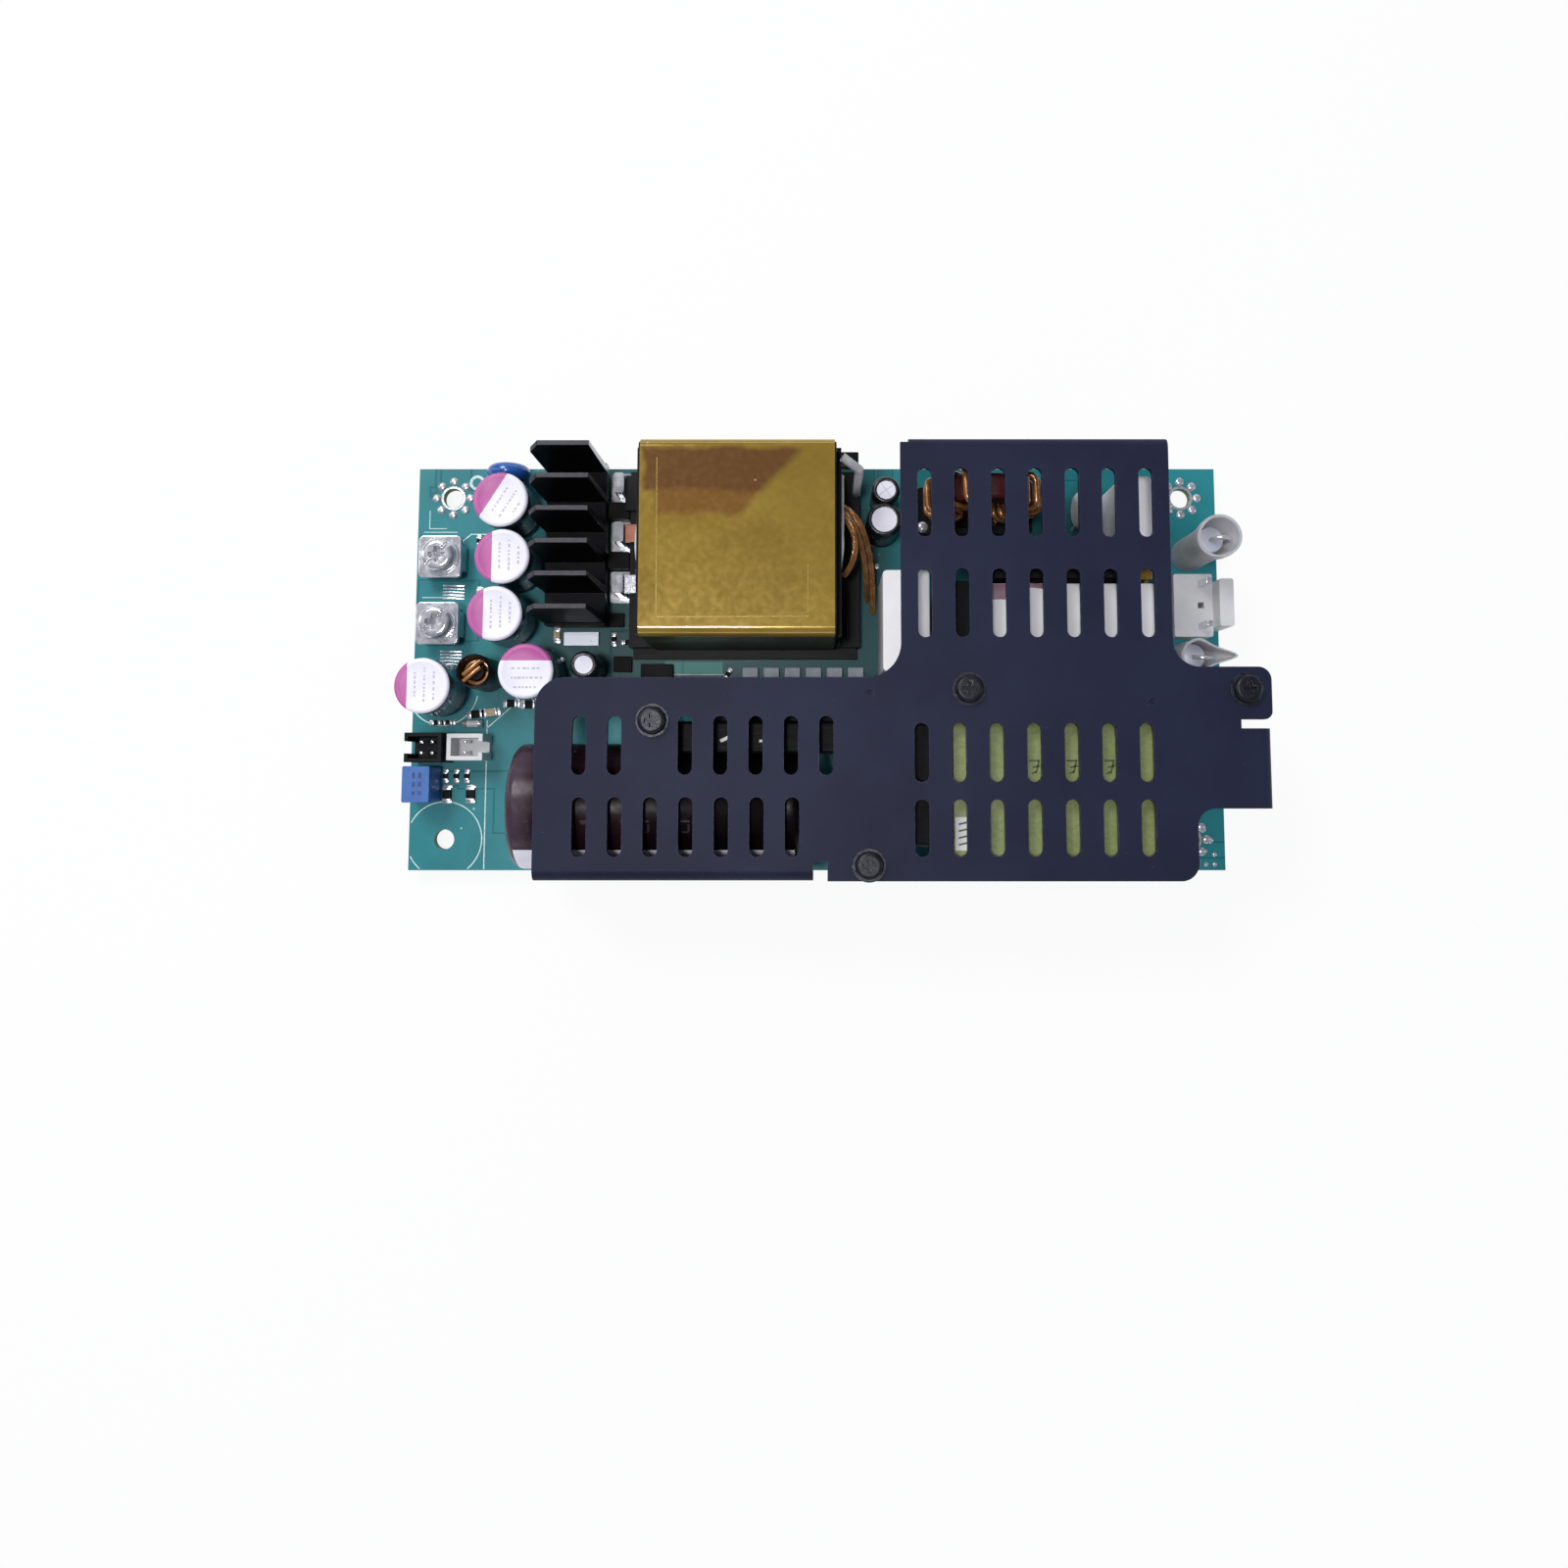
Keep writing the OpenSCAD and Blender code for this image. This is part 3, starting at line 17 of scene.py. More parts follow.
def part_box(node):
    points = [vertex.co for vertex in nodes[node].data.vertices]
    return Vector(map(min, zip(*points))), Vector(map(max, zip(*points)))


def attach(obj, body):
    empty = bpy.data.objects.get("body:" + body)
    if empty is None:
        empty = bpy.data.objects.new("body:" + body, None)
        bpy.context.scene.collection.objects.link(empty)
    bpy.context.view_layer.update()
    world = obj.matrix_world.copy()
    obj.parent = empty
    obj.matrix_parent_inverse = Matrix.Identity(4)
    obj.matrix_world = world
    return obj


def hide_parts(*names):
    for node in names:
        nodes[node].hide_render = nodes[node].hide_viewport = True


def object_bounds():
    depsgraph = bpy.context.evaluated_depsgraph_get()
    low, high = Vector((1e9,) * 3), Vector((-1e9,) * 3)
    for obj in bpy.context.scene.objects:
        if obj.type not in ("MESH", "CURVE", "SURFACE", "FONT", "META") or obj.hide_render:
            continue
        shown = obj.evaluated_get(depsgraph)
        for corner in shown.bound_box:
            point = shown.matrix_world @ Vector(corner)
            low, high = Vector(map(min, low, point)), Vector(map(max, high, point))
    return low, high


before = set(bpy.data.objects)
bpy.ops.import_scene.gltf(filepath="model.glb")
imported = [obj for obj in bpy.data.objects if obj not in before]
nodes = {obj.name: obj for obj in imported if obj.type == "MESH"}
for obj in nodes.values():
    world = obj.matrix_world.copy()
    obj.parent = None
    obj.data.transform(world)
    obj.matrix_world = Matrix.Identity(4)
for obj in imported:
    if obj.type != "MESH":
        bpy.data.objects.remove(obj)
cad_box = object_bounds()
mm = 0.001
random.seed(7)
print(f"{len(nodes)} CAD nodes between {cad_box[0]} and {cad_box[1]}")

# %% [markdown]
# ## Camera
# The supply lies flat and is looked at from almost straight above, from a little over 20 cm. That close,
# tall parts lean outwards in the picture and show their sides, so the distance matters as much as the
# angle. The board sits high and right of the middle, which a small lens shift does without a turn.

# %% Camera
scene = bpy.context.scene
scene.view_settings.view_transform = "Standard"
lens = bpy.data.cameras.new("camera")
lens.lens = 27.18
lens.sensor_width = 36
lens.shift_x = -0.02125
lens.shift_y = -0.0725
camera = bpy.data.objects.new("camera", lens)
camera.location = (0.0001, -0.0204, 0.2247)
camera.rotation_euler = (math.radians(5.05), 0, 0)
scene.collection.objects.link(camera)
scene.camera = camera
print(f"camera {camera.location.z / mm:.0f} mm over the board")


# %% [markdown]
# ## Small tools for shader nodes
# A material in Blender is a small graph of nodes. One short function adds a node, sets or links its
# inputs, and hands back an output, so that a graph reads like a sum. Colours are written as the three
# numbers up to 255 that a screen uses, and turned into the linear numbers that a renderer needs.

# %% Colours and node tools
def srgb(red, green, blue):
    """The linear colour of a screen colour."""
    def linear(v):
        v /= 255
        return v / 12.92 if v <= 0.04045 else ((v + 0.055) / 1.055) ** 2.4

    return (linear(red), linear(green), linear(blue), 1.0)


def add_node(tree, kind, out=0, props=None, **inputs):
    """Adds a shader node, fills its inputs with values or other outputs, and returns one output.
    An input is named by its label, with _ for a space, or by i and its number."""
    made = tree.nodes.new("ShaderNode" + kind)
    for name, value in (props or {}).items():
        setattr(made, name, value)
    for name, value in inputs.items():
        numbered = name[0] == "i" and name[1:].isdigit()
        socket = made.inputs[int(name[1:]) if numbered else name.replace("_", " ")]
        if isinstance(value, bpy.types.NodeSocket):
            tree.links.new(value, socket)
        else:
            socket.default_value = value
    return made.outputs[out]


def mix_colours(tree, share, first, second):
    """first where share is 0, second where it is 1."""
    return add_node(tree, "Mix", 2, {"data_type": "RGBA"}, i0=share, i6=first, i7=second)


def calculate(tree, operation, first, second, third=0.0):
    """One arithmetic step between two or three values."""
    return add_node(tree, "Math", 0, {"operation": operation}, i0=first, i1=second, i2=third)


SOCKETS = {"colour": "NodeSocketColor", "value": "NodeSocketFloat", "vector": "NodeSocketVector"}


def start_group(name, inputs, outputs):
    """An empty shader node group with named sockets: its tree, its input node and its output node."""
    tree = bpy.data.node_groups.new(name, "ShaderNodeTree")
    for label, (kind, value) in inputs.items():
        socket = tree.interface.new_socket(label, in_out="INPUT", socket_type=SOCKETS[kind])
        socket.default_value = value
    for label, kind in outputs.items():
        tree.interface.new_socket(label, in_out="OUTPUT", socket_type=SOCKETS[kind])
    return tree, tree.nodes.new("NodeGroupInput").outputs, tree.nodes.new("NodeGroupOutput").inputs


print("node tools ready")

# %% [markdown]
# ## Effects that many finishes share
# Nothing on a real board has one even colour. Paint, plastic, metal and tape all drift a little in shade
# over their length, and have a fine grain that breaks up their shine. This is one node group, *surface*,
# which every finish uses with its own colours and sizes. It reads Object coordinates, so the pattern
# stays on the part whatever the camera does. Stretching the coordinates along one axis turns the same
# grain into the drawn lines of an extruded or brushed metal.

# %% The surface group
surface, given, out = start_group("surface", {
    "Colour": ("colour", srgb(128, 128, 128)),
    "Shade": ("colour", srgb(110, 110, 110)),
    "Drift": ("value", 150.0),
    "Rough low": ("value", 0.3),
    "Rough high": ("value", 0.4),
    "Grain": ("value", 4000.0),
    "Depth": ("value", 0.00001),
    "Stretch": ("vector", (1.0, 1.0, 1.0)),
}, {"Colour": "colour", "Roughness": "value", "Normal": "vector"})
place = add_node(surface, "TexCoord", "Object")
drawn = add_node(surface, "VectorMath", 0, {"operation": "MULTIPLY"}, i0=place, i1=given["Stretch"])
drift = add_node(surface, "TexNoise", 0, Vector=drawn, Scale=given["Drift"], Detail=4.0, Roughness=0.6)
spread = add_node(surface, "MapRange", 0, Value=drift, From_Min=0.35, From_Max=0.65)
surface.links.new(mix_colours(surface, spread, given["Colour"], given["Shade"]), out["Colour"])
grain = add_node(surface, "TexNoise", 0, Vector=drawn, Scale=given["Grain"], Detail=3.0)
surface.links.new(add_node(surface, "MapRange", 0, Value=grain, From_Min=0.3, From_Max=0.7,
                           To_Min=given["Rough low"], To_Max=given["Rough high"]), out["Roughness"])
surface.links.new(add_node(surface, "Bump", 0, Height=grain, Distance=given["Depth"]), out["Normal"])
print("surface group has", len(surface.nodes), "nodes")

# %% [markdown]
# ## Specks, worn edges and patches
# Three more groups put out a mask, which is 1 where something lies over the base colour. *specks* is dust
# and tiny chips: the middles of a few cells of a Voronoi pattern. *worn edges* compares the surface's
# direction with that of the same surface with its edges rounded off, which differ only near an edge.
# *patch* is a box with wavy borders, for stains and for parts that show through a film.

# %% Specks
specks, given, out = start_group("specks", {
    "Scale": ("value", 900.0), "Size": ("value", 0.12), "Share": ("value", 0.2),
}, {"Mask": "value"})
cells = specks.nodes.new("ShaderNodeTexVoronoi")
specks.links.new(add_node(specks, "TexCoord", "Object"), cells.inputs["Vector"])
specks.links.new(given["Scale"], cells.inputs["Scale"])
near = calculate(specks, "LESS_THAN", cells.outputs["Distance"], given["Size"])
chosen = add_node(specks, "SeparateColor", 0, Color=cells.outputs["Color"])
few = calculate(specks, "LESS_THAN", chosen, given["Share"])
specks.links.new(calculate(specks, "MULTIPLY", near, few), out["Mask"])
print("specks ready")

# %% Worn edges
worn, given, out = start_group("worn edges", {
    "Width": ("value", 0.0002), "Amount": ("value", 1.0), "Patches": ("value", 1500.0),
}, {"Mask": "value"})
rounded = add_node(worn, "Bevel", 0, {"samples": 4}, Radius=given["Width"])
sharp = add_node(worn, "NewGeometry", "Normal")
alike = add_node(worn, "VectorMath", "Value", {"operation": "DOT_PRODUCT"}, i0=rounded, i1=sharp)
turned = add_node(worn, "MapRange", 0, Value=alike, From_Min=0.995, From_Max=0.85)
patchy = add_node(worn, "TexNoise", 0, Vector=add_node(worn, "TexCoord", "Object"), Scale=given["Patches"])
rubbed = add_node(worn, "MapRange", 0, Value=patchy, From_Min=0.4, From_Max=0.6)
both = calculate(worn, "MULTIPLY", turned, rubbed)
worn.links.new(calculate(worn, "MULTIPLY", both, given["Amount"]), out["Mask"])
print("worn edges ready")

# %% Patch
patch, given, out = start_group("patch", {
    "Low": ("vector", (0.0, 0.0, 0.0)), "High": ("vector", (0.01, 0.01, 0.01)),
    "Soft": ("value", 0.0003), "Waver": ("value", 0.0005), "Scale": ("value", 250.0),
}, {"Mask": "value"})
place = add_node(patch, "TexCoord", "Object")
wobble = add_node(patch, "TexNoise", 1, Vector=place, Scale=given["Scale"], Detail=3.0)
centred = add_node(patch, "VectorMath", 0, {"operation": "SUBTRACT"}, i0=wobble, i1=(0.5, 0.5, 0.5))
push = add_node(patch, "VectorMath", 0, {"operation": "SCALE"}, i0=centred, Scale=given["Waver"])
moved = add_node(patch, "VectorMath", 0, {"operation": "ADD"}, i0=place, i1=push)
above = add_node(patch, "VectorMath", 0, {"operation": "SUBTRACT"}, i0=moved, i1=given["Low"])
below = add_node(patch, "VectorMath", 0, {"operation": "SUBTRACT"}, i0=given["High"], i1=moved)
inner = add_node(patch, "VectorMath", 0, {"operation": "MINIMUM"}, i0=above, i1=below)
parts = patch.nodes.new("ShaderNodeSeparateXYZ")
patch.links.new(inner, parts.inputs[0])
least = calculate(patch, "MINIMUM", calculate(patch, "MINIMUM", parts.outputs[0], parts.outputs[1]),
                  parts.outputs[2])
ramp = add_node(patch, "MapRange", 0, Value=least, From_Min=0.0, From_Max=given["Soft"])
patch.links.new(ramp, out["Mask"])
print("patch ready")


# %% [markdown]
# ## How a finish is put together
# A finish is the Principled shader, fed by the surface group. Whatever lies over it, such as dust or bare
# metal along an edge, is laid on one mask at a time: the new colour is mixed in between what already
# feeds the shader and the shader itself. Numbers that don't change over the surface are set straight on
# the shader, so that they survive an export.

# %% Finish tools
PALETTE = {}  # the finishes by name
FAR = 100  # mm, a corner for patches that is past every side of the supply


def finish(name, colour, shade, rough, drift=150.0, grain=4000.0, depth=0.01, stretch=(1, 1, 1), metal=0.0,
           **sockets):
    """A material whose colour, roughness and fine bumps come from the surface group. depth is in mm."""
    material = bpy.data.materials.new(name)
    material.use_nodes = True
    tree = material.node_tree
    shader = tree.nodes["Principled BSDF"]
    base = tree.nodes.new("ShaderNodeGroup")
    base.node_tree = surface
    values = {"Colour": srgb(*colour), "Shade": srgb(*shade), "Drift": drift, "Rough low": rough[0],
              "Rough high": rough[1], "Grain": grain, "Depth": depth * mm, "Stretch": stretch}
    for label, value in values.items():
        base.inputs[label].default_value = value
    for label, socket in (("Colour", "Base Color"), ("Roughness", "Roughness"), ("Normal", "Normal")):
        tree.links.new(base.outputs[label], shader.inputs[socket])
    shader.inputs["Metallic"].default_value = metal
    for label, value in sockets.items():
        shader.inputs[label.replace("_", " ")].default_value = value
    PALETTE[name] = material
    return material


def mask_from(material, group, **values):
    """Places a group in a material and returns its mask."""
    placed = material.node_tree.nodes.new("ShaderNodeGroup")
    placed.node_tree = group
    for label, value in values.items():
        placed.inputs[label].default_value = value
    return placed.outputs["Mask"]


def lay_over(material, mask, colour, rough=None, metal=None, shine=None, coat=None):
    """Where the mask is 1, the finish gets this colour, roughness, metallic value, shine or clear coat."""
    tree = material.node_tree
    shader = tree.nodes["Principled BSDF"]
    under = shader.inputs["Base Color"].links[0].from_socket
    tree.links.new(mix_colours(tree, mask, under, srgb(*colour)), shader.inputs["Base Color"])
    for label, value in (("Roughness", rough), ("Metallic", metal), ("Specular IOR Level", shine),
                         ("Coat Weight", coat)):
        if value is not None:
            socket = shader.inputs[label]
            under = socket.links[0].from_socket if socket.links else socket.default_value
            tree.links.new(add_node(tree, "Mix", 0, i0=mask, i2=under, i3=value), socket)


def add_specks(material, colour, scale, size, share):
    """Lays dust or tiny chips of one colour over a finish."""
    lay_over(material, mask_from(material, specks, Scale=scale, Size=size, Share=share), colour)


def wear_edges(material, colour, width, amount, rough=None):
    """Gives a finish paler edges, where hands and tools have rubbed it. The width is in mm."""
    lay_over(material, mask_from(material, worn, Width=width * mm, Amount=amount), colour, rough)


def patch_mask(material, low, high, soft, waver=0.5, scale=250.0):
    """The mask of a box with wavy borders between two corners, in mm."""
    return mask_from(material, patch, Low=Vector(low) * mm, High=Vector(high) * mm, Soft=soft * mm,
                     Waver=waver * mm, Scale=scale)


def add_height(material, height, distance):
    """Adds a height in mm to the bumps that a finish already has."""
    tree = material.node_tree
    shader = tree.nodes["Principled BSDF"]
    under = shader.inputs["Normal"].links[0].from_socket
    tree.links.new(add_node(tree, "Bump", 0, Height=height, Distance=distance * mm, Normal=under),
                   shader.inputs["Normal"])


print("finish tools ready")

# %% [markdown]
# ## The circuit board's finishes
# Solder mask is a thin glossy green lacquer over copper. Where copper lies under it the green is lighter, and
# the gaps between copper areas are darker lines, a few tenths of a millimetre wide. A Voronoi pattern
# measured by its largest coordinate has straight walls like those gaps, so its distance to an edge gives
# them, and they also get a small step in height. Between the tall parts, and under the cover, the mask is
# painted darker as painted shade where those parts shade the board. A short strip in front of the transformer
# is painted lighter as painted light. The board's cut edge shows the bare glass laminate.

# %% Board finishes
solder_mask = finish("solder_mask", (42, 131, 139), (30, 115, 122), (0.3, 0.44), drift=60, grain=6000,
                     depth=0.004, Specular_IOR_Level=0.22, Coat_Weight=0.06, Coat_Roughness=0.12)
tree = solder_mask.node_tree
place = add_node(tree, "TexCoord", "Object")
pours = add_node(tree, "TexVoronoi", "Distance",
                 {"feature": "F1", "distance": "CHEBYCHEV"}, Vector=place, Scale=55.0, Randomness=0.8)
rings = calculate(tree, "PINGPONG", pours, 0.16)
gaps = add_node(tree, "MapRange", 0, Value=rings, From_Min=0.012, From_Max=0.006)
lay_over(solder_mask, calculate(tree, "MULTIPLY", gaps, 0.45), (8, 76, 76))
add_height(solder_mask, gaps, -0.03)
add_specks(solder_mask, (120, 190, 185), 420.0, 0.11, 0.10)
position = tree.nodes.new("ShaderNodeSeparateXYZ")
tree.links.new(place, position.inputs[0])
upper = calculate(tree, "GREATER_THAN", position.outputs[2], 0.8 * mm)
# Painted shade: the board is darker between the tall parts and under the cover, where they shade it.
for low, high in (((-53.5, -8.5), (16, 60)), ((16, -60), (65.5, 35.5))):
    painted_shade_between_parts = patch_mask(solder_mask, (*low, -FAR), (*high, FAR), 4, 3, 120.0)
    share = calculate(tree, "MULTIPLY", painted_shade_between_parts, calculate(tree, "MULTIPLY", upper, 0.72))
    lay_over(solder_mask, share, (7, 56, 58))
# Painted light: a lighter strip of board in front of the transformer, where light falls on it.
painted_light_strip = patch_mask(solder_mask, (-28.8, -1.4, 0.8), (-17.7, 1, FAR), 0.2, 0.1)
lay_over(solder_mask, painted_light_strip, (66, 146, 140))
finish("board_edge", (120, 150, 100), (86, 120, 78), (0.6, 0.8), stretch=(1, 1, 6), grain=3000)
finish("print_white", (226, 240, 238), (186, 216, 214), (0.5, 0.65), drift=900)
print("board finishes:", *PALETTE)

# %% [markdown]
# ## Painted and dark metals
# The cover is sheet steel with satin black paint, slightly blue, with a fine even texture, a little dust
# and paler paint where the edges are rubbed. Its screws are black oxide. The comb heatsink is black
# anodised extrusion with long drawn lines, and its saw cut ends are bare.

# %% Dark metal finishes
black_sheet = finish("black_sheet", (34, 38, 60), (28, 31, 52), (0.42, 0.54), drift=45, grain=7000,
                     depth=0.008, Specular_IOR_Level=0.12)
wear_edges(black_sheet, (84, 87, 112), 0.25, 0.6, 0.35)
add_specks(black_sheet, (78, 82, 104), 700.0, 0.05, 0.07)
black_screws = finish("black_screws", (36, 37, 46), (24, 25, 31), (0.28, 0.42), drift=800, metal=0.35,
                      Specular_IOR_Level=0.3)
wear_edges(black_screws, (120, 120, 128), 0.2, 0.8, 0.3)
black_anodised = finish("black_anodised", (12, 12, 17), (7, 7, 10), (0.4, 0.52), drift=300, grain=9000,
                        stretch=(0.03, 1, 1), depth=0.012, Specular_IOR_Level=0.08)
wear_edges(black_anodised, (96, 97, 106), 0.15, 0.5)
finish("bare_aluminium", (196, 197, 203), (165, 166, 172), (0.3, 0.45), drift=700, grain=9000,
       stretch=(1, 0.05, 1), depth=0.01, metal=0.9)
print("dark metals ready")

# %% [markdown]
# ## Bright metals
# Tin, solder, zinc and nickel look alike from far off, and differ in how they shine. Dipped tin is
# wavy and mirror like, solder flows in soft lumps, zinc plate is even, and the shunt is a rolled strip
# with lines along it. The grain size, its depth and the range of roughness make the difference.

# %% Bright metal finishes
tinned_metal = finish("tinned_metal", (232, 232, 236), (196, 197, 204), (0.1, 0.22), drift=500, grain=700,
                      depth=0.035, metal=0.7)
finish("solder", (206, 208, 213), (170, 173, 180), (0.16, 0.34), drift=900, grain=2500, depth=0.02, metal=0.6)
zinc_screws = finish("zinc_screws", (196, 196, 196), (160, 162, 158), (0.25, 0.4), drift=700, metal=1.0)
finish("nickel_brass", (204, 196, 176), (170, 160, 138), (0.24, 0.38), drift=500, stretch=(1, 1, 0.1),
       metal=1.0)
finish("brass_screw", (205, 165, 84), (160, 120, 56), (0.25, 0.4), drift=900, metal=1.0)
shunt_metal = finish("shunt_metal", (206, 210, 222), (186, 190, 204), (0.32, 0.46), drift=600,
                     stretch=(0.05, 1, 1), grain=7000, depth=0.01, metal=0.35)
finish("copper_foil", (150, 100, 84), (96, 58, 44), (0.3, 0.5), drift=500, stretch=(0.1, 1, 1), metal=0.8)
finish("polymer_can", (112, 126, 146), (84, 96, 114), (0.16, 0.28), drift=300, grain=6000,
       stretch=(1, 1, 0.08), metal=0.6)
finish("enamelled_copper", (194, 138, 84), (148, 98, 58), (0.2, 0.32), drift=500, metal=0.45,
       Coat_Weight=0.6, Coat_Roughness=0.1)
for metal_finish in (tinned_metal, zinc_screws, shunt_metal):
    add_specks(metal_finish, (96, 98, 104), 1500.0, 0.12, 0.12)
print("bright metals ready")

# %% [markdown]
# ## Plastics, ceramics and resins
# Moulded nylon has a fine even texture, dipped epoxy is glossy and smooth, moulded chip epoxy is dull
# with tiny filler grains, and fired ceramic is chalky. The white parts stay below full white so that
# their shape still shows in the light.

# %% Plastic and ceramic finishes
finish("black_nylon", (16, 17, 21), (11, 12, 15), (0.35, 0.5), grain=8000, depth=0.01,
       Specular_IOR_Level=0.12)
finish("black_epoxy", (16, 16, 19), (11, 11, 14), (0.5, 0.68), drift=900, grain=9000, depth=0.012,
       Specular_IOR_Level=0.14)
white_nylon = finish("white_nylon", (218, 218, 220), (206, 206, 210), (0.38, 0.5), drift=200, grain=7000,
                     Subsurface_Weight=0.15, Subsurface_Scale=0.0006)
finish("blue_plastic", (50, 104, 176), (40, 90, 160), (0.35, 0.5), drift=400, grain=8000)
white_box = finish("white_box", (246, 245, 247), (240, 238, 242), (0.4, 0.55), drift=180, grain=6000)
white_coating = finish("white_coating", (228, 227, 226), (216, 216, 217), (0.25, 0.38), drift=250, grain=1500)
finish("blue_epoxy", (36, 92, 168), (26, 74, 148), (0.16, 0.28), drift=400, grain=1500, depth=0.02,
       Coat_Weight=0.4)
finish("red_core", (84, 30, 28), (62, 20, 20), (0.3, 0.42), drift=500, grain=3000, depth=0.02)
finish("grey_ceramic", (166, 174, 188), (146, 154, 170), (0.4, 0.55), drift=900)
# The heatsink's fin tops: a lighter grey that is a painted highlight.
finish("fin_top_highlight", (42, 42, 52), (26, 26, 34), (0.35, 0.5), drift=900, metal=0.2)
finish("foil_tin", (216, 218, 224), (176, 178, 186), (0.2, 0.35), drift=900, metal=0.6)
finish("mauve_resin", (150, 112, 130), (134, 98, 116), (0.4, 0.55), drift=400)
finish("tape_line", (168, 146, 78), (148, 124, 54), (0.2, 0.35), drift=900, metal=0.3)
finish("fuse_ceramic", (206, 186, 152), (188, 166, 132), (0.5, 0.65), drift=500)
ferrite = finish("ferrite", (24, 23, 26), (17, 16, 19), (0.45, 0.62), drift=600, grain=5000, depth=0.02,
                 Specular_IOR_Level=0.12)
add_specks(ferrite, (86, 86, 92), 2500.0, 0.2, 0.1)
for white_finish in (white_box, white_coating, white_nylon):
    add_specks(white_finish, (150, 146, 140), 500.0, 0.05, 0.06)
print("plastics and ceramics ready")

# %% [markdown]
# ## Tapes, sleeves and printed films
# Polyester tape is a thin glossy film. On the transformer, two darker brown patches with a slanted edge are
# painted on its top, and its front side is painted dark as painted shade. Shrink sleeves are glossy and a
# little uneven. Under the cover, the bulk capacitor's sleeve and its print are painted darker as painted
# shade. The pale tops of the polymer capacitors are a lacquer with a magenta segment.

# %% Film and sleeve finishes
amber_tape = finish("amber_tape", (158, 130, 48), (142, 114, 38), (0.14, 0.22), drift=70, grain=900,
                    depth=0.005, metal=0.35, Coat_Weight=0.5, Coat_Roughness=0.06)
tree = amber_tape.node_tree
place = add_node(tree, "TexCoord", "Object")
wobble = add_node(tree, "TexNoise", 0, Vector=place, Scale=260.0, Detail=3.0)
slant = add_node(tree, "VectorMath", "Value", {"operation": "DOT_PRODUCT"}, i0=place, i1=(0.733, -0.68, 0.0))
slant = calculate(tree, "MULTIPLY_ADD", wobble, 0.0016, slant)
left_of = add_node(tree, "MapRange", 0, Value=slant, From_Min=-0.0240, From_Max=-0.0255)
# Two darker brown patches with wavy borders are painted on the tape's top, cut off on the right by a slanted
# line.
for low, high, colour, soft in (((-28, 22.8, 20), (-9.5, 32.5, 40), (134, 92, 36), 1.4),
                                ((-30, 27.2, 20), (-2, 35.6, 40), (112, 74, 30), 1)):
    brown_patch = patch_mask(amber_tape, low, high, soft, 2.2, 180.0)
    lay_over(amber_tape, calculate(tree, "MULTIPLY", brown_patch, left_of), colour)
# Painted shade: the tape's front side is painted dark, without its shine, as the shade there.
painted_shade_front_side = patch_mask(amber_tape, (-FAR, -FAR, -FAR), (FAR, 10, 26.2), 0.8, 0.4)
lay_over(amber_tape, calculate(tree, "MULTIPLY", painted_shade_front_side, 0.85), (34, 27, 12), rough=0.5, metal=0.0,
         shine=0.15, coat=0.04)
olive_tape = finish("olive_tape", (146, 158, 104), (132, 146, 90), (0.2, 0.34), drift=160, grain=1200,
                    depth=0.02, Coat_Weight=0.3)
finish("winding_tape", (196, 196, 190), (172, 172, 164), (0.3, 0.45), drift=300, depth=0.02)
black_sleeve = finish("black_sleeve", (17, 17, 20), (12, 12, 14), (0.3, 0.45), drift=400, grain=1500,
                      depth=0.03)
finish("black_can_sleeve", (24, 25, 32), (18, 19, 25), (0.22, 0.35), drift=400)
maroon_sleeve = finish("maroon_sleeve", (72, 56, 72), (56, 38, 50), (0.24, 0.36), drift=120, grain=900,
                       depth=0.02, Specular_IOR_Level=0.3)
# Painted shade: the sleeve is painted darker and less shiny where the cover and the parts beside it shade it.
for left_end, front_end, colour in ((-50.8, -60, (34, 17, 21)), (-30, -60, (17, 10, 14)),
                                    (-34, -23, (10, 8, 11))):
    painted_shade_under_cover = patch_mask(maroon_sleeve, (left_end, front_end, -FAR), (30, 60, FAR), 3)
    lay_over(maroon_sleeve, painted_shade_under_cover, colour, shine=0.1)
finish("white_sleeve", (232, 232, 236), (220, 220, 226), (0.3, 0.45), drift=400, grain=1500, depth=0.02,
       Transmission_Weight=0.5, Subsurface_Weight=0.2, Subsurface_Scale=0.001)
finish("cap_white", (240, 238, 250), (232, 230, 245), (0.35, 0.48), drift=300)
finish("cap_magenta", (190, 92, 162), (182, 84, 154), (0.35, 0.48), drift=300)
finish("print_grey", (182, 178, 194), (196, 192, 206), (0.4, 0.55), drift=2500)
sleeve_print = finish("sleeve_print", (150, 142, 154), (120, 114, 126), (0.3, 0.45), drift=900)
# Painted shade: the print on the sleeve is painted darker under the cover.
for front_end, back_end in ((-60, -34.5), (-34.5, 60)):
    painted_shade_under_cover = patch_mask(sleeve_print, (-50.8, front_end, -FAR), (30, back_end, FAR), 0.6)
    lay_over(sleeve_print, painted_shade_under_cover, (44, 36, 42))
finish("tape_mark", (60, 70, 44), (84, 96, 60), (0.3, 0.45), drift=900)
finish("trimmer_mark", (24, 50, 112), (30, 58, 122), (0.4, 0.5), drift=900)
for film_finish, colour in ((amber_tape, (190, 176, 128)), (olive_tape, (120, 118, 116)),
                            (maroon_sleeve, (120, 118, 116)), (black_sleeve, (120, 118, 116))):
    add_specks(film_finish, colour, 380.0, 0.07, 0.16)
print(len(PALETTE), "finishes")


# %% [markdown]
# ## Tools for pieces
# A piece is a mesh made in a bmesh, which is Blender's own editor for meshes in code. When it is done, one
# function gives it its finishes, shades it smooth between its sharp edges, parents it to the body it moves
# with, and hides the CAD nodes it stands for.

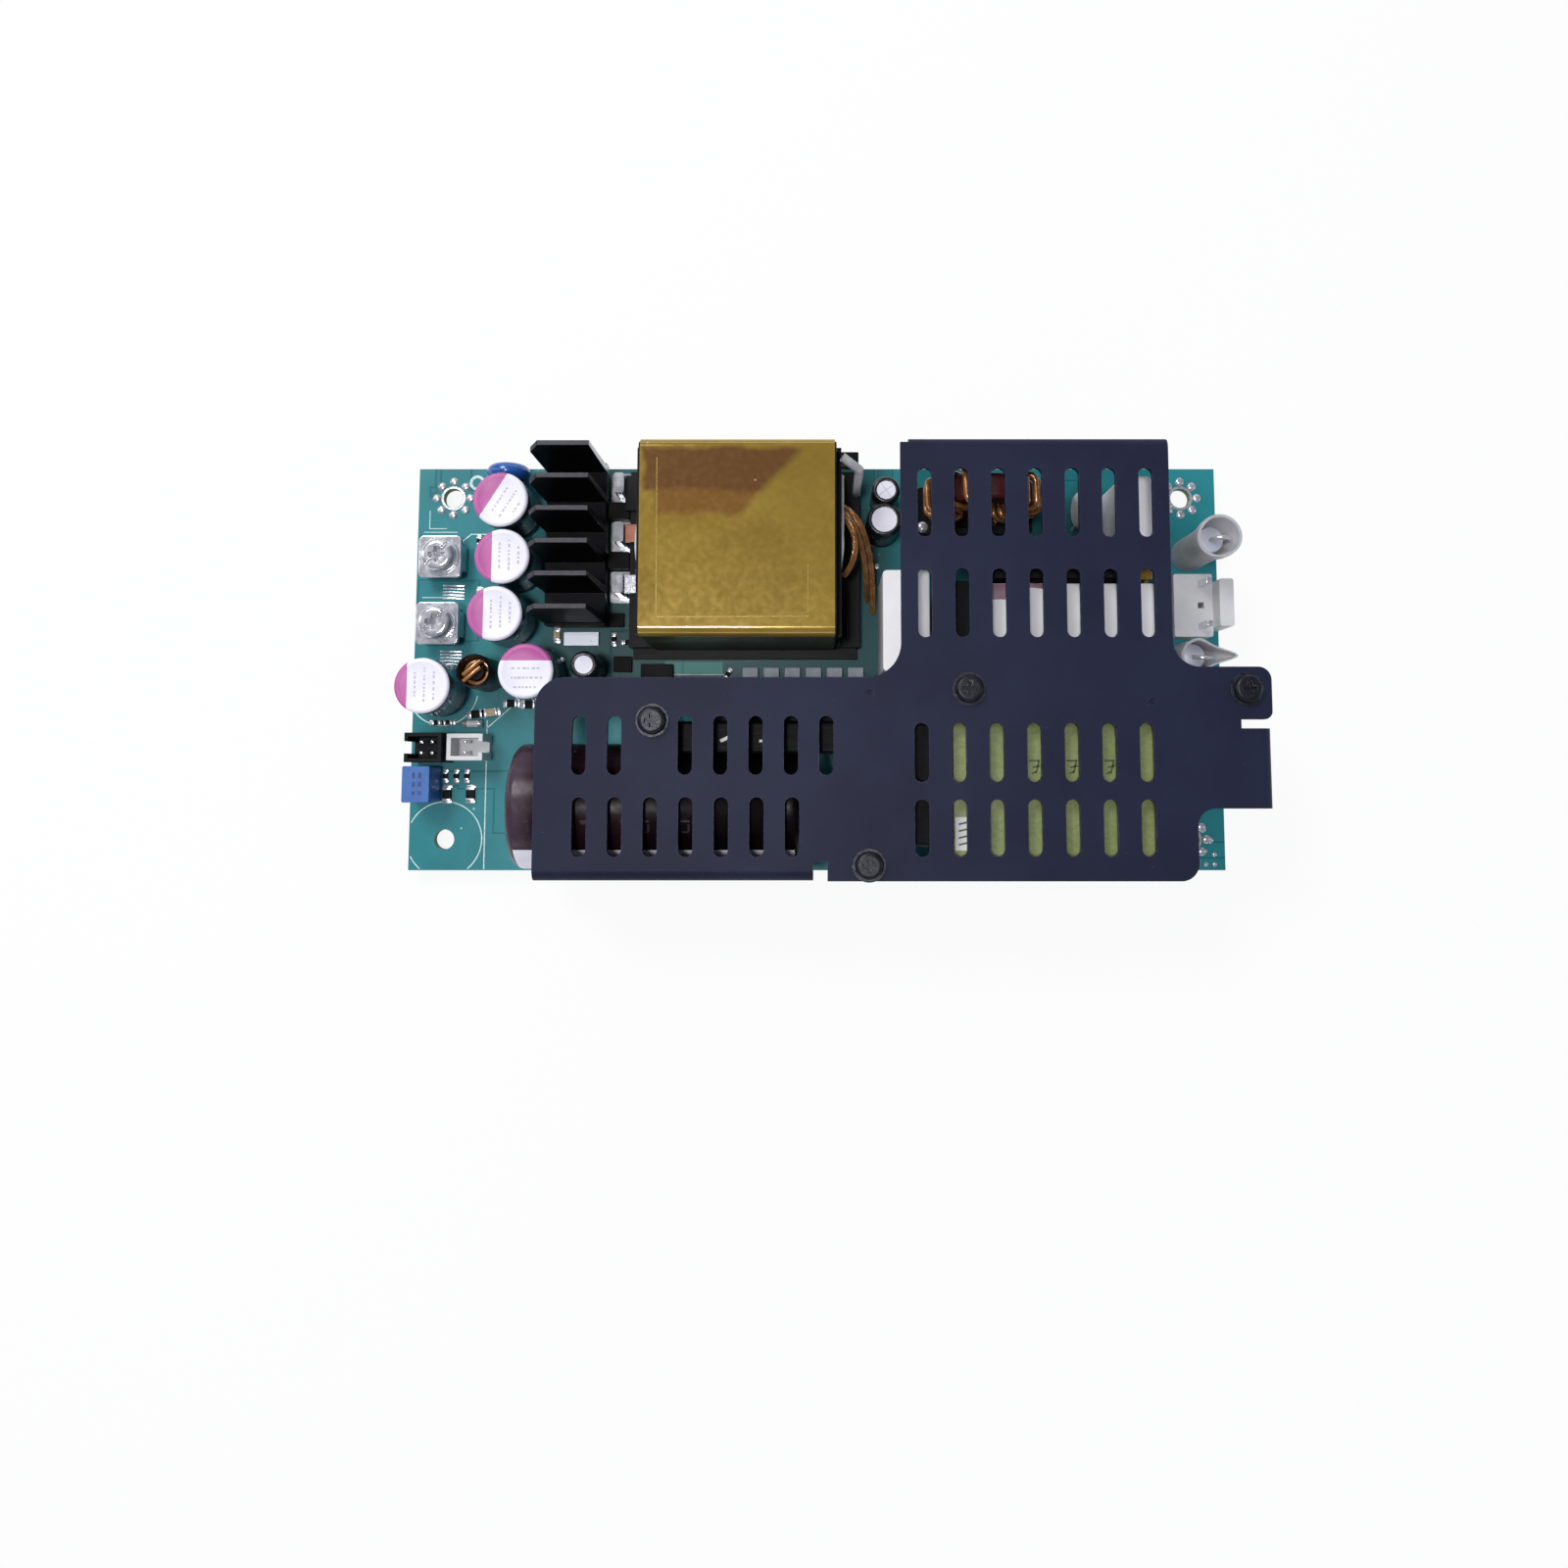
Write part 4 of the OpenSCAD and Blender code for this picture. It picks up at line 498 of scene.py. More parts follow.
# %% Piece tools
def make_piece(name, bm, slot, finishes=None, smooth=35, replaces=(), weighted=False):
    """Turns a bmesh into a finished piece of the supply."""
    mesh = bpy.data.meshes.new(name)
    bm.to_mesh(mesh)
    bm.free()
    for label in finishes or [slot]:
        mesh.materials.append(PALETTE[label])
    mesh.shade_smooth()
    mesh.set_sharp_from_angle(angle=math.radians(smooth))
    piece = bpy.data.objects.new(name, mesh)
    scene.collection.objects.link(piece)
    if weighted:
        piece.modifiers.new("even shading", "WEIGHTED_NORMAL").keep_sharp = True
    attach(piece, "root")
    if replaces:
        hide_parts(*replaces)


def shift(x, y, z):
    """The matrix that moves a part to a place in mm."""
    return Matrix.Translation(Vector((x, y, z)) * mm)


def move(bm, place):
    """Moves a whole bmesh by a matrix."""
    bmesh.ops.transform(bm, matrix=place, verts=bm.verts)


def join(bm, part, place):
    """Adds a finished bmesh to another, moved by a matrix."""
    move(part, place)
    mesh = bpy.data.meshes.new("part")
    part.to_mesh(mesh)
    part.free()
    bm.from_mesh(mesh)
    bpy.data.meshes.remove(mesh)


def add_bar(bm, centre, size, turn=0.0, finish_number=0, edge=0.0):
    """A small bar with bevelled edges, turned about Z. Lengths are in mm, the turn in degrees."""
    bar = bmesh.new()
    bmesh.ops.create_cube(bar, size=1.0)
    bmesh.ops.scale(bar, vec=Vector(size) * mm, verts=bar.verts)
    if edge:
        bmesh.ops.bevel(bar, geom=bar.edges[:], offset=edge * mm, segments=2, profile=0.5, affect="EDGES",
                        material=-1, clamp_overlap=True)
    for face in bar.faces:
        face.material_index = finish_number
    join(bm, bar, shift(*centre) @ Matrix.Rotation(math.radians(turn), 4, "Z"))


def make_bars(name, slot, bars, finishes=None):
    """A piece that is made of bars only. Each bar is what add_bar is told."""
    bm = bmesh.new()
    for centre, size, *rest in bars:
        add_bar(bm, centre, size, *rest)
    make_piece(name, bm, slot, finishes)


def cut(bm, faces, point, across):
    """Cuts some faces in two along a plane through a point, in metres."""
    parts = faces + list({e for f in faces for e in f.edges}) + list({v for f in faces for v in f.verts})
    bmesh.ops.bisect_plane(bm, geom=parts, plane_co=point, plane_no=across)


def lathe(profile, steps):
    """Spins a profile of (radius, height) points, in mm, round the Z axis."""
    bm = bmesh.new()
    points = [bm.verts.new((radius * mm, 0, height * mm)) for radius, height in profile]
    line = [bm.edges.new(pair) for pair in zip(points, points[1:])]
    bmesh.ops.spin(bm, geom=points + line, cent=(0, 0, 0), axis=(0, 0, 1), dvec=(0, 0, 0), angle=math.tau,
                   steps=steps, use_merge=True)
    bmesh.ops.remove_doubles(bm, verts=bm.verts, dist=1e-7)
    bmesh.ops.recalc_face_normals(bm, faces=bm.faces)
    return bm


def wires(paths, radius, sides):
    """Round wires along lists of points, in mm, as one bmesh."""
    curve = bpy.data.curves.new("wires", "CURVE")
    curve.dimensions = "3D"
    curve.bevel_depth = radius * mm
    curve.bevel_resolution = (sides - 4) // 2
    curve.use_fill_caps = True
    for path in paths:
        spline = curve.splines.new("POLY")
        spline.points.add(len(path) - 1)
        for point, place in zip(spline.points, path):
            point.co = (*(Vector(place) * mm), 1)
    holder = bpy.data.objects.new("wires", curve)
    scene.collection.objects.link(holder)
    mesh = bpy.data.meshes.new_from_object(holder.evaluated_get(bpy.context.evaluated_depsgraph_get()))
    bm = bmesh.new()
    bm.from_mesh(mesh)
    bpy.data.objects.remove(holder)
    bpy.data.curves.remove(curve)
    bpy.data.meshes.remove(mesh)
    return bm


def cad_copy(node):
    """A copy of a CAD node's mesh with its triangles merged into the flat faces that they stand for."""
    bm = bmesh.new()
    bm.from_mesh(nodes[node].data)
    bmesh.ops.remove_doubles(bm, verts=bm.verts, dist=1e-6)
    bmesh.ops.dissolve_limit(bm, angle_limit=math.radians(1), verts=bm.verts, edges=bm.edges)
    for face in bm.faces:
        face.material_index = 0
    return bm


def soften(bm, width, angle=30):
    """Bevels every edge that turns by more than the angle. The width is in mm."""
    sharp = [e for e in bm.edges if e.is_manifold and e.calc_face_angle(0) > math.radians(angle)]
    bmesh.ops.bevel(bm, geom=sharp, offset=width * mm, segments=2, profile=0.5, affect="EDGES", material=-1,
                    clamp_overlap=True)
    return bm


def corners(node):
    """The low and the high corner of a node's box, in mm."""
    low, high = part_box(node)
    return low / mm, high / mm


def middle_of(node):
    """The middle of a node's box in mm, and its size in mm."""
    low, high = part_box(node)
    return (low + high) / 2 / mm, (high - low) / mm


board_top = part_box("circuit_board")[1].z / mm
print(f"board top is {board_top:.2f} mm up")

# %% [markdown]
# ## Parts whose shape is right already
# Folded sheet, moulded cases and cut metal come from the CAD model as they are. What they lack is the
# tiny rounding that every real edge has, which is what catches the light. Each gets a copy of its mesh,
# with its sharp edges bevelled by a tenth of a millimetre or so, and its finish. The copy stands in for
# the node, whose own mesh stays as the model packed it.

# %% Rounded copies of the CAD parts
DRESSED = {
    "black_sheet": {"safety_cover": 0.14},
    "black_screws": {"cover_screws": 0.1},
    "nickel_brass": {"cover_standoffs": 0.1},
    "zinc_screws": {"standoff_screws": 0.1},
    "black_epoxy": {"rectifier_transistors": 0.08, "control_chips": 0.06, "bridge_rectifier": 0.25,
                    "primary_transistors": 0.2},
    "ferrite": {"transformer_core": 0.12, "boost_choke_core": 0.12, "rod_choke_core": 0.1,
                "filter_choke_core": 0.3},
    "black_nylon": {"transformer_bobbin": 0.12, "boost_choke_bobbin": 0.12, "common_mode_base": 0.12,
                    "signal_header": 0.08},
    "winding_tape": {"transformer_winding": 0.3},
    "amber_tape": {"transformer_tape": 0.05, "filter_choke_winding": 0.2},
    "olive_tape": {"boost_choke_tape": 0.05},
    "tinned_metal": {"secondary_lugs": 0.16, "output_terminal_positive": 0.2,
                     "output_terminal_negative": 0.2, "signal_header_pins": 0.06,
                     "fan_header_pins": 0.06, "mains_header_pins": 0.1},
    "white_nylon": {"fan_header": 0.08, "mains_header": 0.14},
    "blue_plastic": {"trimmer_body": 0.1},
    "brass_screw": {"trimmer_screw": 0.06},
    "shunt_metal": {"shunt_resistor": 0.06},
    "grey_ceramic": {"chip_blocks": 0.08},
    "blue_epoxy": {"disc_capacitor": 0.0},
    "white_box": {"film_capacitor": 0.3, "line_capacitor": 0.35, "corner_capacitor": 0.3},
    "white_coating": {"varistor": 0.0},
    "red_core": {"common_mode_core": 0.0},
    "black_anodised": {"rectifier_heatsink": 0.1, "primary_heatsink": 0.1},
}
for slot, group in DRESSED.items():
    for node, width in group.items():
        bm = cad_copy(node)
        if width:
            soften(bm, width)
        extra = ["bare_aluminium"] if slot == "black_anodised" else []
        make_piece(node + "_dressed", bm, slot, [slot] + extra, replaces=[node], weighted=True)
print(sum(len(group) for group in DRESSED.values()), "CAD parts have rounded copies")

# %% [markdown]
# ## Details on the dressed parts
# A few of those copies carry more than one finish. The heatsink was sawn off the bar after it was anodised,
# so its fin ends are bare. Only the outermost fin's end is given bare metal, and the other ends stay black as
# painted shade. The tops of its fins get a lighter grey finish as a painted highlight, and its edges are
# rubbed. The three foils from the transformer differ: one is taped over, one is bare copper, one is tinned.

# %% Heatsink and foils
sink = scene.objects["rectifier_heatsink_dressed"]
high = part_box("rectifier_heatsink")[1]
bare_from = high.y - 1.6 * mm
bm = bmesh.new()
bm.from_mesh(sink.data)
cut(bm, [f for f in bm.faces if f.normal.x > 0.9], (0, bare_from, 0), (0, 1, 0))
# Painted shade and highlight: only the outermost fin's end is bare, the other ends stay black as painted
# shade, and the fin tops get a lighter grey as a painted highlight.
for face in bm.faces:
    middle = face.calc_center_median()
    if middle.x > high.x - 0.3 * mm and face.normal.x > 0.5 and middle.y > bare_from:
        face.material_index = 1
    elif face.normal.z > 0.9 and middle.z > high.z - 1 * mm:
        face.material_index = 2
sink.data.materials.append(PALETTE["fin_top_highlight"])
bm.to_mesh(sink.data)
bm.free()
bm = soften(cad_copy("secondary_foils"), 0.06)
for face in bm.faces:
    y = face.calc_center_median().y / mm
    face.material_index = 1 if y > 28 else 2 if y < 19 else 0
make_piece("secondary_foils_dressed", bm, "copper_foil", ["copper_foil", "black_nylon", "foil_tin"],
           replaces=["secondary_foils"], weighted=True)
print("heatsink and foils done")

# %% [markdown]
# ## Tape ends, marks and small fittings
# The folded end of the transformer's tape leaves a faint raised line inside two of its edges. A strip of
# margin tape closes the winding on the right, and the bobbin has a black shoulder there that its lead sleeve
# runs over. The trimmer has dark marks in its top, and the large choke has print and a label on its tape.
# Under the cover, mauve resin has run over one capacitor, and the filter choke shows the end of its tape. Two
# small white bars on the primary heatsink are painted glints, a painted highlight on its black top. All of
# these are made of small bars.

# %% Fittings
low, high = corners("transformer_tape")
middle = (low + high) / 2
make_bars("tape_creases", "amber_tape", [
    ((low.x + 3.0, middle.y, high.z), (0.14, 27.0, 0.03), 0.3),
    ((middle.x - 0.6, low.y + 3.2, high.z), (25.6, 0.14, 0.03), 0.2),
    ((high.x - 4.6, low.y + 8.0, high.z), (0.1, 8.4, 0.02), -0.5),
], ["tape_line"])
make_bars("margin_tape", "winding_tape", [((high.x + 1.15, 27.0, 14.5), (1.1, 10.5, 12.0), 0, 0, 0.3)])
make_bars("bobbin_shoulder", "black_nylon", [
    ((high.x + 2.2, 34.4, 21.4), (4.0, 2.8, 1.6), 0, 0, 0.2),
    ((high.x + 2.6, 9.0, 6.4), (0.5, 9.0, 1.6), 0, 0, 0.15),
])
low, high = corners("trimmer_body")
make_bars("trimmer_marks", "blue_plastic", [
    (((low.x + high.x) / 2 + 0.2 + side * 0.55, low.y + 1.7 + row * 1.6, high.z),
     (0.5, 0.7 + 0.2 * row, 0.03))
    for row in range(3) for side in (-1, 1)
], ["trimmer_mark"])
low, high = corners("line_capacitor")
make_bars("resin_stain", "white_box", [
    ((low.x + 2.6, high.y - 1.5, high.z - 0.01), (4.6, 2.7, 0.1), 0, 0, 0.04),
    ((low.x + 8.6, high.y - 0.5, high.z - 0.01), (4.4, 0.8, 0.1), -6, 0, 0.04),
], ["mauve_resin"])
low, high = corners("filter_choke_core")
make_bars("choke_tape_end", "amber_tape", [
    ((high.x - 1.7, (low.y + high.y) / 2, high.z + 0.1), (3.2, 7.2, 0.5), 0, 0, 0.15),
])
top = corners("boost_choke_tape")[1].z
bars = []
for column in range(3):
    x = 36.9 + column * 6.35
    bars += [((x + (row % 2) * 0.4, -18.0 - row, top), (1.7 - 0.4 * row, 0.3, 0.03), 12 * row)
             for row in range(3)]
    bars.append(((x + 0.6, -19.0, top), (0.3, 2.4, 0.03), -14))
label_x = 24.7
bars.append(((label_x, -30.3, top), (2.5, 5.6, 0.04), 0, 1))
bars += [((label_x, -32.0 + row * 1.15, top + 0.03), (1.5, 0.3, 0.03), 14) for row in range(4)]
make_bars("choke_marks", "olive_tape", bars, ["tape_mark", "white_coating"])
# Painted highlight: two white bars stand for glints on the primary heatsink's black top.
top = corners("primary_heatsink")[1].z
make_bars("painted_glints", "white_box", [
    ((-15.8, -14.3, top), (1.6, 0.6, 0.12), 24, 0, 0.04),
    ((-9.6, -14.6, top), (0.5, 0.45, 0.12), 10, 0, 0.04),
])
print("fittings done")

# %% [markdown]
# ## Terminal screws
# The two output screws are the brightest things on the board: flanged pan heads of dipped steel, with a
# cross and a slot. Their wavy plating picks up dark crescents from the room.

# %% Terminal screws
bm = soften(cad_copy("terminal_screws"), 0.16)
make_piece("terminal_screws_dressed", bm, "tinned_metal", replaces=["terminal_screws"], weighted=True)
print("terminals done")

# %% [markdown]
# ## Bare board, print and pads
# The board itself keeps its CAD shape, but its cut edges show glass laminate, so the faces that look
# sideways get a second finish. White print is ink about as thick as a sheet of film: thin bars, and
# short bars along a circle for the curved lines.

# %% Board
bm = cad_copy("circuit_board")
for face in bm.faces:
    face.material_index = 0 if abs(face.normal.z) > 0.5 else 1
make_piece("board", bm, "solder_mask", ["solder_mask", "board_edge"], replaces=["circuit_board"])
(left, front, _), (right, back, _) = corners("circuit_board")
TERMINALS = ("output_terminal_positive", "output_terminal_negative")
print(f"board {right - left:.1f} x {back - front:.1f} mm")


# %% Print tools
def print_line(bm, points, width=0.2):
    """A printed line along points on the board's top, in mm."""
    for step, ((x0, y0), (x1, y1)) in enumerate(zip(points, points[1:])):
        run = math.hypot(x1 - x0, y1 - y0)
        tall = 0.03 + 0.006 * (step % 2)  # so that two overlapping bars never share a top face
        add_bar(bm, ((x0 + x1) / 2, (y0 + y1) / 2, board_top + tall / 2), (run + width, width, tall),
                math.degrees(math.atan2(y1 - y0, x1 - x0)))


def arc(x, y, radius, start, end, steps):
    """Points along an arc, in mm and degrees, as far as the board reaches."""
    turns = [math.radians(start + (end - start) * i / steps) for i in range(steps + 1)]
    points = [(x + radius * math.cos(t), y + radius * math.sin(t)) for t in turns]
    return [p for p in points if left + 0.3 < p[0] < right - 0.3 and front + 0.3 < p[1] < back - 0.3]


holes = [(x, y) for x in (left + 6.6, right - 6.6) for y in (front + 5.7, back - 5.7)]
print("mounting holes at", holes)

# %% White print
bm = bmesh.new()
print_line(bm, arc(*holes[0], 7.0, -50, 158, 40))
print_line(bm, arc(*holes[0], 7.0, 204, 230, 8))
print_line(bm, [(left + 14.1, front + 0.3), (left + 14.1, -10.2)])
print_line(bm, [(left + 14.1, -11.6), (left + 18.6, -7.6), (left + 23.6, -7.6)])
for node, radius in (("output_capacitor_5", 6.6), ("output_capacitor_4", 6.1)):
    centre = middle_of(node)[0]
    print_line(bm, arc(centre.x, centre.y, radius, 220, 350, 26))
for node in TERMINALS:
    centre = middle_of(node)[0]
    print_line(bm, [(left + 1.2, centre.y + 5.4), (left + 7.5, centre.y + 5.4)], 0.14)
print_line(bm, [(left + 2.2, back - 11.6), (left + 5.4, back - 11.6), (left + 2.2, back - 11.6),
                (left + 2.2, back - 8.2)], 0.14)
print_line(bm, arc(-65.1, 35.4, 1.2, 40, 320, 12), 0.5)
print_line(bm, [(-72.0, 23.4), (-68.4, 23.4), (-66.0, 25.4), (-62.0, 25.4)])
print_line(bm, [(-28.8, -1.5), (-17.7, -1.5)])
make_piece("board_print", bm, "solder_mask", ["print_white"])
print("white print done")

# %% [markdown]
# ## Plated holes and pads
# Three of the mounting holes have a ring of eight plated vias round them, which tie the board's ground
# to its screw. Each via is filled with solder, which sets as a low dome. Beside each output terminal the
# mask is left off in stripes, and the bare copper carries extra tin.

# %% Vias and pads
choke_base = 1.8  # mm, the thickness of the ring choke's base, where one lead shows its solder
base_scale = 1.3
bm = bmesh.new()
DOME = [(0.85, 0), (0.8, 0.1), (0.62, 0.24), (0.34, 0.32), (0, 0.34)]
spots = []
for index in (1, 2, 3):
    x, y = holes[index]
    spots += [(x + 3.2 * math.cos(math.radians(a)), y + 3.2 * math.sin(math.radians(a)), 1.0)
              for a in range(0, 360, 45)]
spots += [(right - inward, front + up, scale) for inward, up, scale in (
    (4.0, 7.5, 0.7), (2.7, 5.5, 0.7), (3.8, 3.5, 0.55), (2.0, 2.9, 0.55), (3.6, 1.1, 0.55), (2.0, 1.1, 0.55))]
spots.append((20.0, 26.4, base_scale))
for x, y, scale in spots:
    dome = lathe([(radius * scale, tall * scale) for radius, tall in DOME], 24)
    join(bm, dome, shift(x, y, board_top + (choke_base if scale == base_scale else 0)))
for x, y in holes[1:]:
    ring = lathe([(1.86, 0), (2.35, 0), (2.3, 0.05), (1.9, 0.05), (1.86, 0)], 48)
    join(bm, ring, shift(x, y, board_top))
for node in TERMINALS:
    centre, size = middle_of(node)
    for row in range(5):
        add_bar(bm, (centre.x + 1.5, centre.y - size.y / 2 - 0.9 - row * 0.62, board_top + 0.03),
                (4.1, 0.34, 0.06), edge=0.02)
make_piece("board_vias", bm, "solder", ["solder"])
print(len(spots), "vias")


# %% [markdown]
# ## Small surface parts
# Chip resistors and capacitors are ceramic bricks with a tinned cap round each end, soldered to two
# pads. A three legged transistor is an epoxy block with legs. They are scattered where the board has room
# between the large parts, in rows as a layout program puts them.

# %% Chip parts
def add_chip(bm, x, y, turn, length, width, body):
    """A chip part: pads of solder, two tinned ends and a body. body is the number of its finish."""
    height = 0.45 + width * 0.2
    direction = Vector((math.cos(math.radians(turn)), math.sin(math.radians(turn)), 0))
    centre = Vector((x, y, board_top))
    for side in (-1, 1):
        end = centre + direction * side * (length / 2 - 0.2)
        add_bar(bm, end + Vector((0, 0, height / 2 + 0.02)), (0.42, width, height + 0.04), turn, 2, 0.06)
        pad = centre + direction * side * (length / 2 + 0.15)
        add_bar(bm, pad + Vector((0, 0, 0.08)), (0.8, width * 1.1, 0.16), turn, 2, 0.07)
    add_bar(bm, centre + Vector((0, 0, height / 2)), (length - 0.5, width * 0.96, height), turn, body, 0.05)


CHIPS = [
    # x, y, turn, length, width, finish: 0 dull black, 1 tan ceramic
    (-57.6, -7.0, 0, 2.2, 1.5, 0), (-54.2, -7.2, 0, 2.2, 1.5, 0), (-64.2, -9.0, 8, 2.4, 1.5, 0),
    (-61.4, -8.7, 8, 2.4, 1.5, 1), (-71.6, -10.6, 0, 1.6, 0.9, 0), (-69.4, -10.6, 0, 1.6, 0.9, 0),
    (-69.6, -20.6, 90, 1.6, 0.9, 0), (-67.6, -20.6, 90, 1.6, 0.9, 0), (-65.6, -20.6, 90, 1.6, 0.9, 0),
    (-69.2, -24.0, 90, 2.4, 1.6, 0), (-64.8, -24.0, 90, 2.4, 1.6, 0), (-38.0, 8.6, 0, 2.0, 1.25, 0),
    (-34.6, 8.9, 90, 2.0, 1.25, 1), (-38.4, 5.2, 90, 1.6, 0.9, 0), (-35.8, 4.6, 0, 1.6, 0.9, 0),
    (-33.2, 2.4, 0, 2.0, 1.25, 1), (-16.8, -1.4, 60, 1.6, 0.9, 0), (9.8, 14.6, 90, 2.0, 1.25, 1),
    (10.6, 19.2, 0, 1.6, 0.9, 0), (12.6, -2.2, 45, 1.6, 0.9, 0), (-48.2, 0.4, 90, 1.6, 0.9, 0),
    (-49.2, 6.0, 90, 2.0, 1.25, 1), (62.8, 33.2, 90, 2.0, 1.25, 0), (65.4, -20.6, 0, 2.0, 1.25, 0),
    (-60.4, 13.8, 0, 1.6, 0.9, 0), (-64.0, 13.7, 90, 2.0, 1.25, 1), (-64.4, 24.0, 90, 1.6, 0.9, 0),
    (-44.4, -7.6, 0, 2.0, 1.25, 0), (-20.5, -8.4, 0, 2.0, 1.25, 0), (21.2, -9.0, 0, 2.0, 1.25, 0),
]
bm = bmesh.new()
for chip in CHIPS:
    add_chip(bm, *chip)
make_piece("chip_parts", bm, "grey_ceramic", ["black_epoxy", "fuse_ceramic", "solder"])
ON_ITS_SIDE = Matrix.Rotation(math.radians(90), 4, "Y")
bm = bmesh.new()
glass = lathe([(0, -1.8), (0.65, -1.8), (0.72, -1.7), (0.72, -1.1), (0.66, -1.05), (0.66, 1.05), (0.72, 1.1),
               (0.72, 1.7), (0.65, 1.8), (0, 1.8)], 24)
for face in glass.faces:
    face.material_index = 0 if abs(face.calc_center_median().z) > 1.0 * mm else 1
join(bm, glass, shift(-64.6, -10.8, board_top + 0.75) @ ON_ITS_SIDE)
make_piece("round_resistor", bm, "solder", ["solder", "white_coating"])
print(len(CHIPS), "chip parts")

# %% [markdown]
# ## Polymer capacitors
# A polymer capacitor is a bare aluminium can on a black rubber plug. Its lead end is crimped in, which
# leaves a groove near the board, and its top has a rounded rim. The top is lacquered pale, with a
# magenta segment that marks the minus side, cut along a straight chord. Spinning one profile makes the
# can, and a plane that cuts the top's faces along the chord lets the two lacquers meet in a sharp line.

# %% Polymer capacitors
CHORDS = {  # the turn of the segment's middle in degrees, and how far the chord is from the axis
    "output_capacitor_1": (148, 0.30), "output_capacitor_2": (180, 0.36),
    "output_capacitor_3": (180, 0.40), "output_capacitor_4": (90, 0.38), "output_capacitor_5": (180, 0.52),
}


def polymer_profile(radius, height):
    """The can's outline from the middle of its base to the middle of its top."""
    rim = [(radius - 0.6 + 0.6 * math.sin(math.radians(a)), height - 0.6 + 0.6 * math.cos(math.radians(a)))
           for a in range(90, -1, -15)]
    return [(0, 0), (radius - 0.75, 0), (radius - 0.6, 0.45), (radius - 0.6, 0.75), (radius - 0.1, 0.8),
            (radius, 0.95), (radius, 1.3), (radius - 0.2, 1.5), (radius - 0.36, 1.8), (radius - 0.2, 2.1),
            (radius, 2.3), *rim, (radius - 0.85, height - 0.02), (radius - 1.0, height - 0.1),
            (0, height - 0.1)]


for node, (turn, reach) in CHORDS.items():
    centre, size = middle_of(node)
    radius, height = size.x / 2, size.z
    bm = lathe(polymer_profile(radius, height), 64)
    away = Vector((math.cos(math.radians(turn)), math.sin(math.radians(turn)), 0))
    chord = away * radius * reach * mm
    top = [f for f in bm.faces if f.calc_center_median().z > (height - 0.45) * mm]
    cut(bm, top, chord, away)
    for face in bm.faces:
        middle = face.calc_center_median()
        face.material_index = 1 if middle.z < 0.77 * mm else 0
        if middle.z > (height - 0.45) * mm:
            face.material_index = 3 if (middle - chord).dot(away) > 0 else 2
    move(bm, shift(centre.x, centre.y, board_top))
    make_piece(node + "_can", bm, "polymer_can", ["polymer_can", "black_sleeve", "cap_white", "cap_magenta"],
               smooth=50, replaces=[node])
print(len(CHORDS), "polymer capacitors")

# %% [markdown]
# ## Marks on the capacitors
# The pale part of each top carries four short rows of small print. Here they are plain grey dashes of
# mixed lengths, in rows along the chord.

# %% Capacitor marks
bm = bmesh.new()
for node, (turn, reach) in CHORDS.items():
    centre, size = middle_of(node)
    radius, height = size.x / 2, size.z
    for row in range(4):
        away = radius * (reach - 0.28 - row * 0.34)
        half = math.sqrt(max(0.0, (radius - 1.4) ** 2 - away ** 2)) * (0.9 if row else 0.7)
        along = -half
        while along < half - 0.3:
            dash = random.choice((0.3, 0.45, 0.6))
            place = Matrix.Rotation(math.radians(turn), 4, "Z") @ Vector((away, along + dash / 2, 0))
            add_bar(bm, (centre.x + place.x, centre.y + place.y, board_top + height - 0.095),
                    (0.34, dash, 0.02), turn)
            along += dash + random.choice((0.22, 0.3, 0.5))
make_piece("capacitor_marks", bm, "polymer_can", ["print_grey"])
print("capacitor marks done")

# %% [markdown]
# ## Small sleeved capacitors
# The bias supplies use small electrolytic capacitors: a can in a black shrink sleeve that folds over its
# rim, with bare aluminium in the middle. One of them has a top scored with a cross, so that it opens
# there and not at its seam. The CAD node holds all of them, so each can is found from its points.

# %% Sleeved capacitors
bm = bmesh.new()
islands = cad_copy("bias_capacitors")
centres = {}
for vert in islands.verts:
    for key in centres:
        if math.hypot(vert.co.x / mm - key[0], vert.co.y / mm - key[1]) < 6.2:
            centres[key].append(vert.co / mm)
            break
    else:
        centres[(vert.co.x / mm, vert.co.y / mm)] = [vert.co / mm]
islands.free()
CANS = []
for found in centres.values():
    xs, ys = [p.x for p in found], [p.y for p in found]
    CANS.append(((max(xs) + min(xs)) / 2, (max(ys) + min(ys)) / 2, (max(xs) - min(xs)) / 2,
                 max(p.z for p in found) - board_top))
for x, y, radius, height in CANS:
    can = lathe([(0, 0), (radius - 0.3, 0), (radius, 0.25), (radius, 1.2), (radius - 0.3, 1.6), (radius, 2.0),
                 (radius, height - 0.5), (radius - 0.12, height - 0.18), (radius - 0.4, height),
                 (radius - 0.75, height), (radius - 0.85, height - 0.06), (radius - 0.85, height - 0.12),
                 (0, height - 0.12)], 40)
    for face in can.faces:
        middle = face.calc_center_median()
        inside = math.hypot(middle.x, middle.y) < (radius - 0.85) * mm
        face.material_index = 1 if inside and middle.z > (height - 0.2) * mm else 0
    join(bm, can, shift(x, y, board_top))
    for turn in (35, 125) if y > 30 else ():  # the back one has the cross
        add_bar(bm, (x, y, board_top + height - 0.12 + turn * 1e-4), (radius * 1.3, 0.16, 0.05), turn, 2)
make_piece("bias_capacitor_cans", bm, "black_can_sleeve", ["black_can_sleeve", "cap_white", "shunt_metal"],
           smooth=45, replaces=["bias_capacitors"])
print("small capacitors:", [(round(x, 1), round(y, 1), round(r, 2)) for x, y, r, h in CANS])

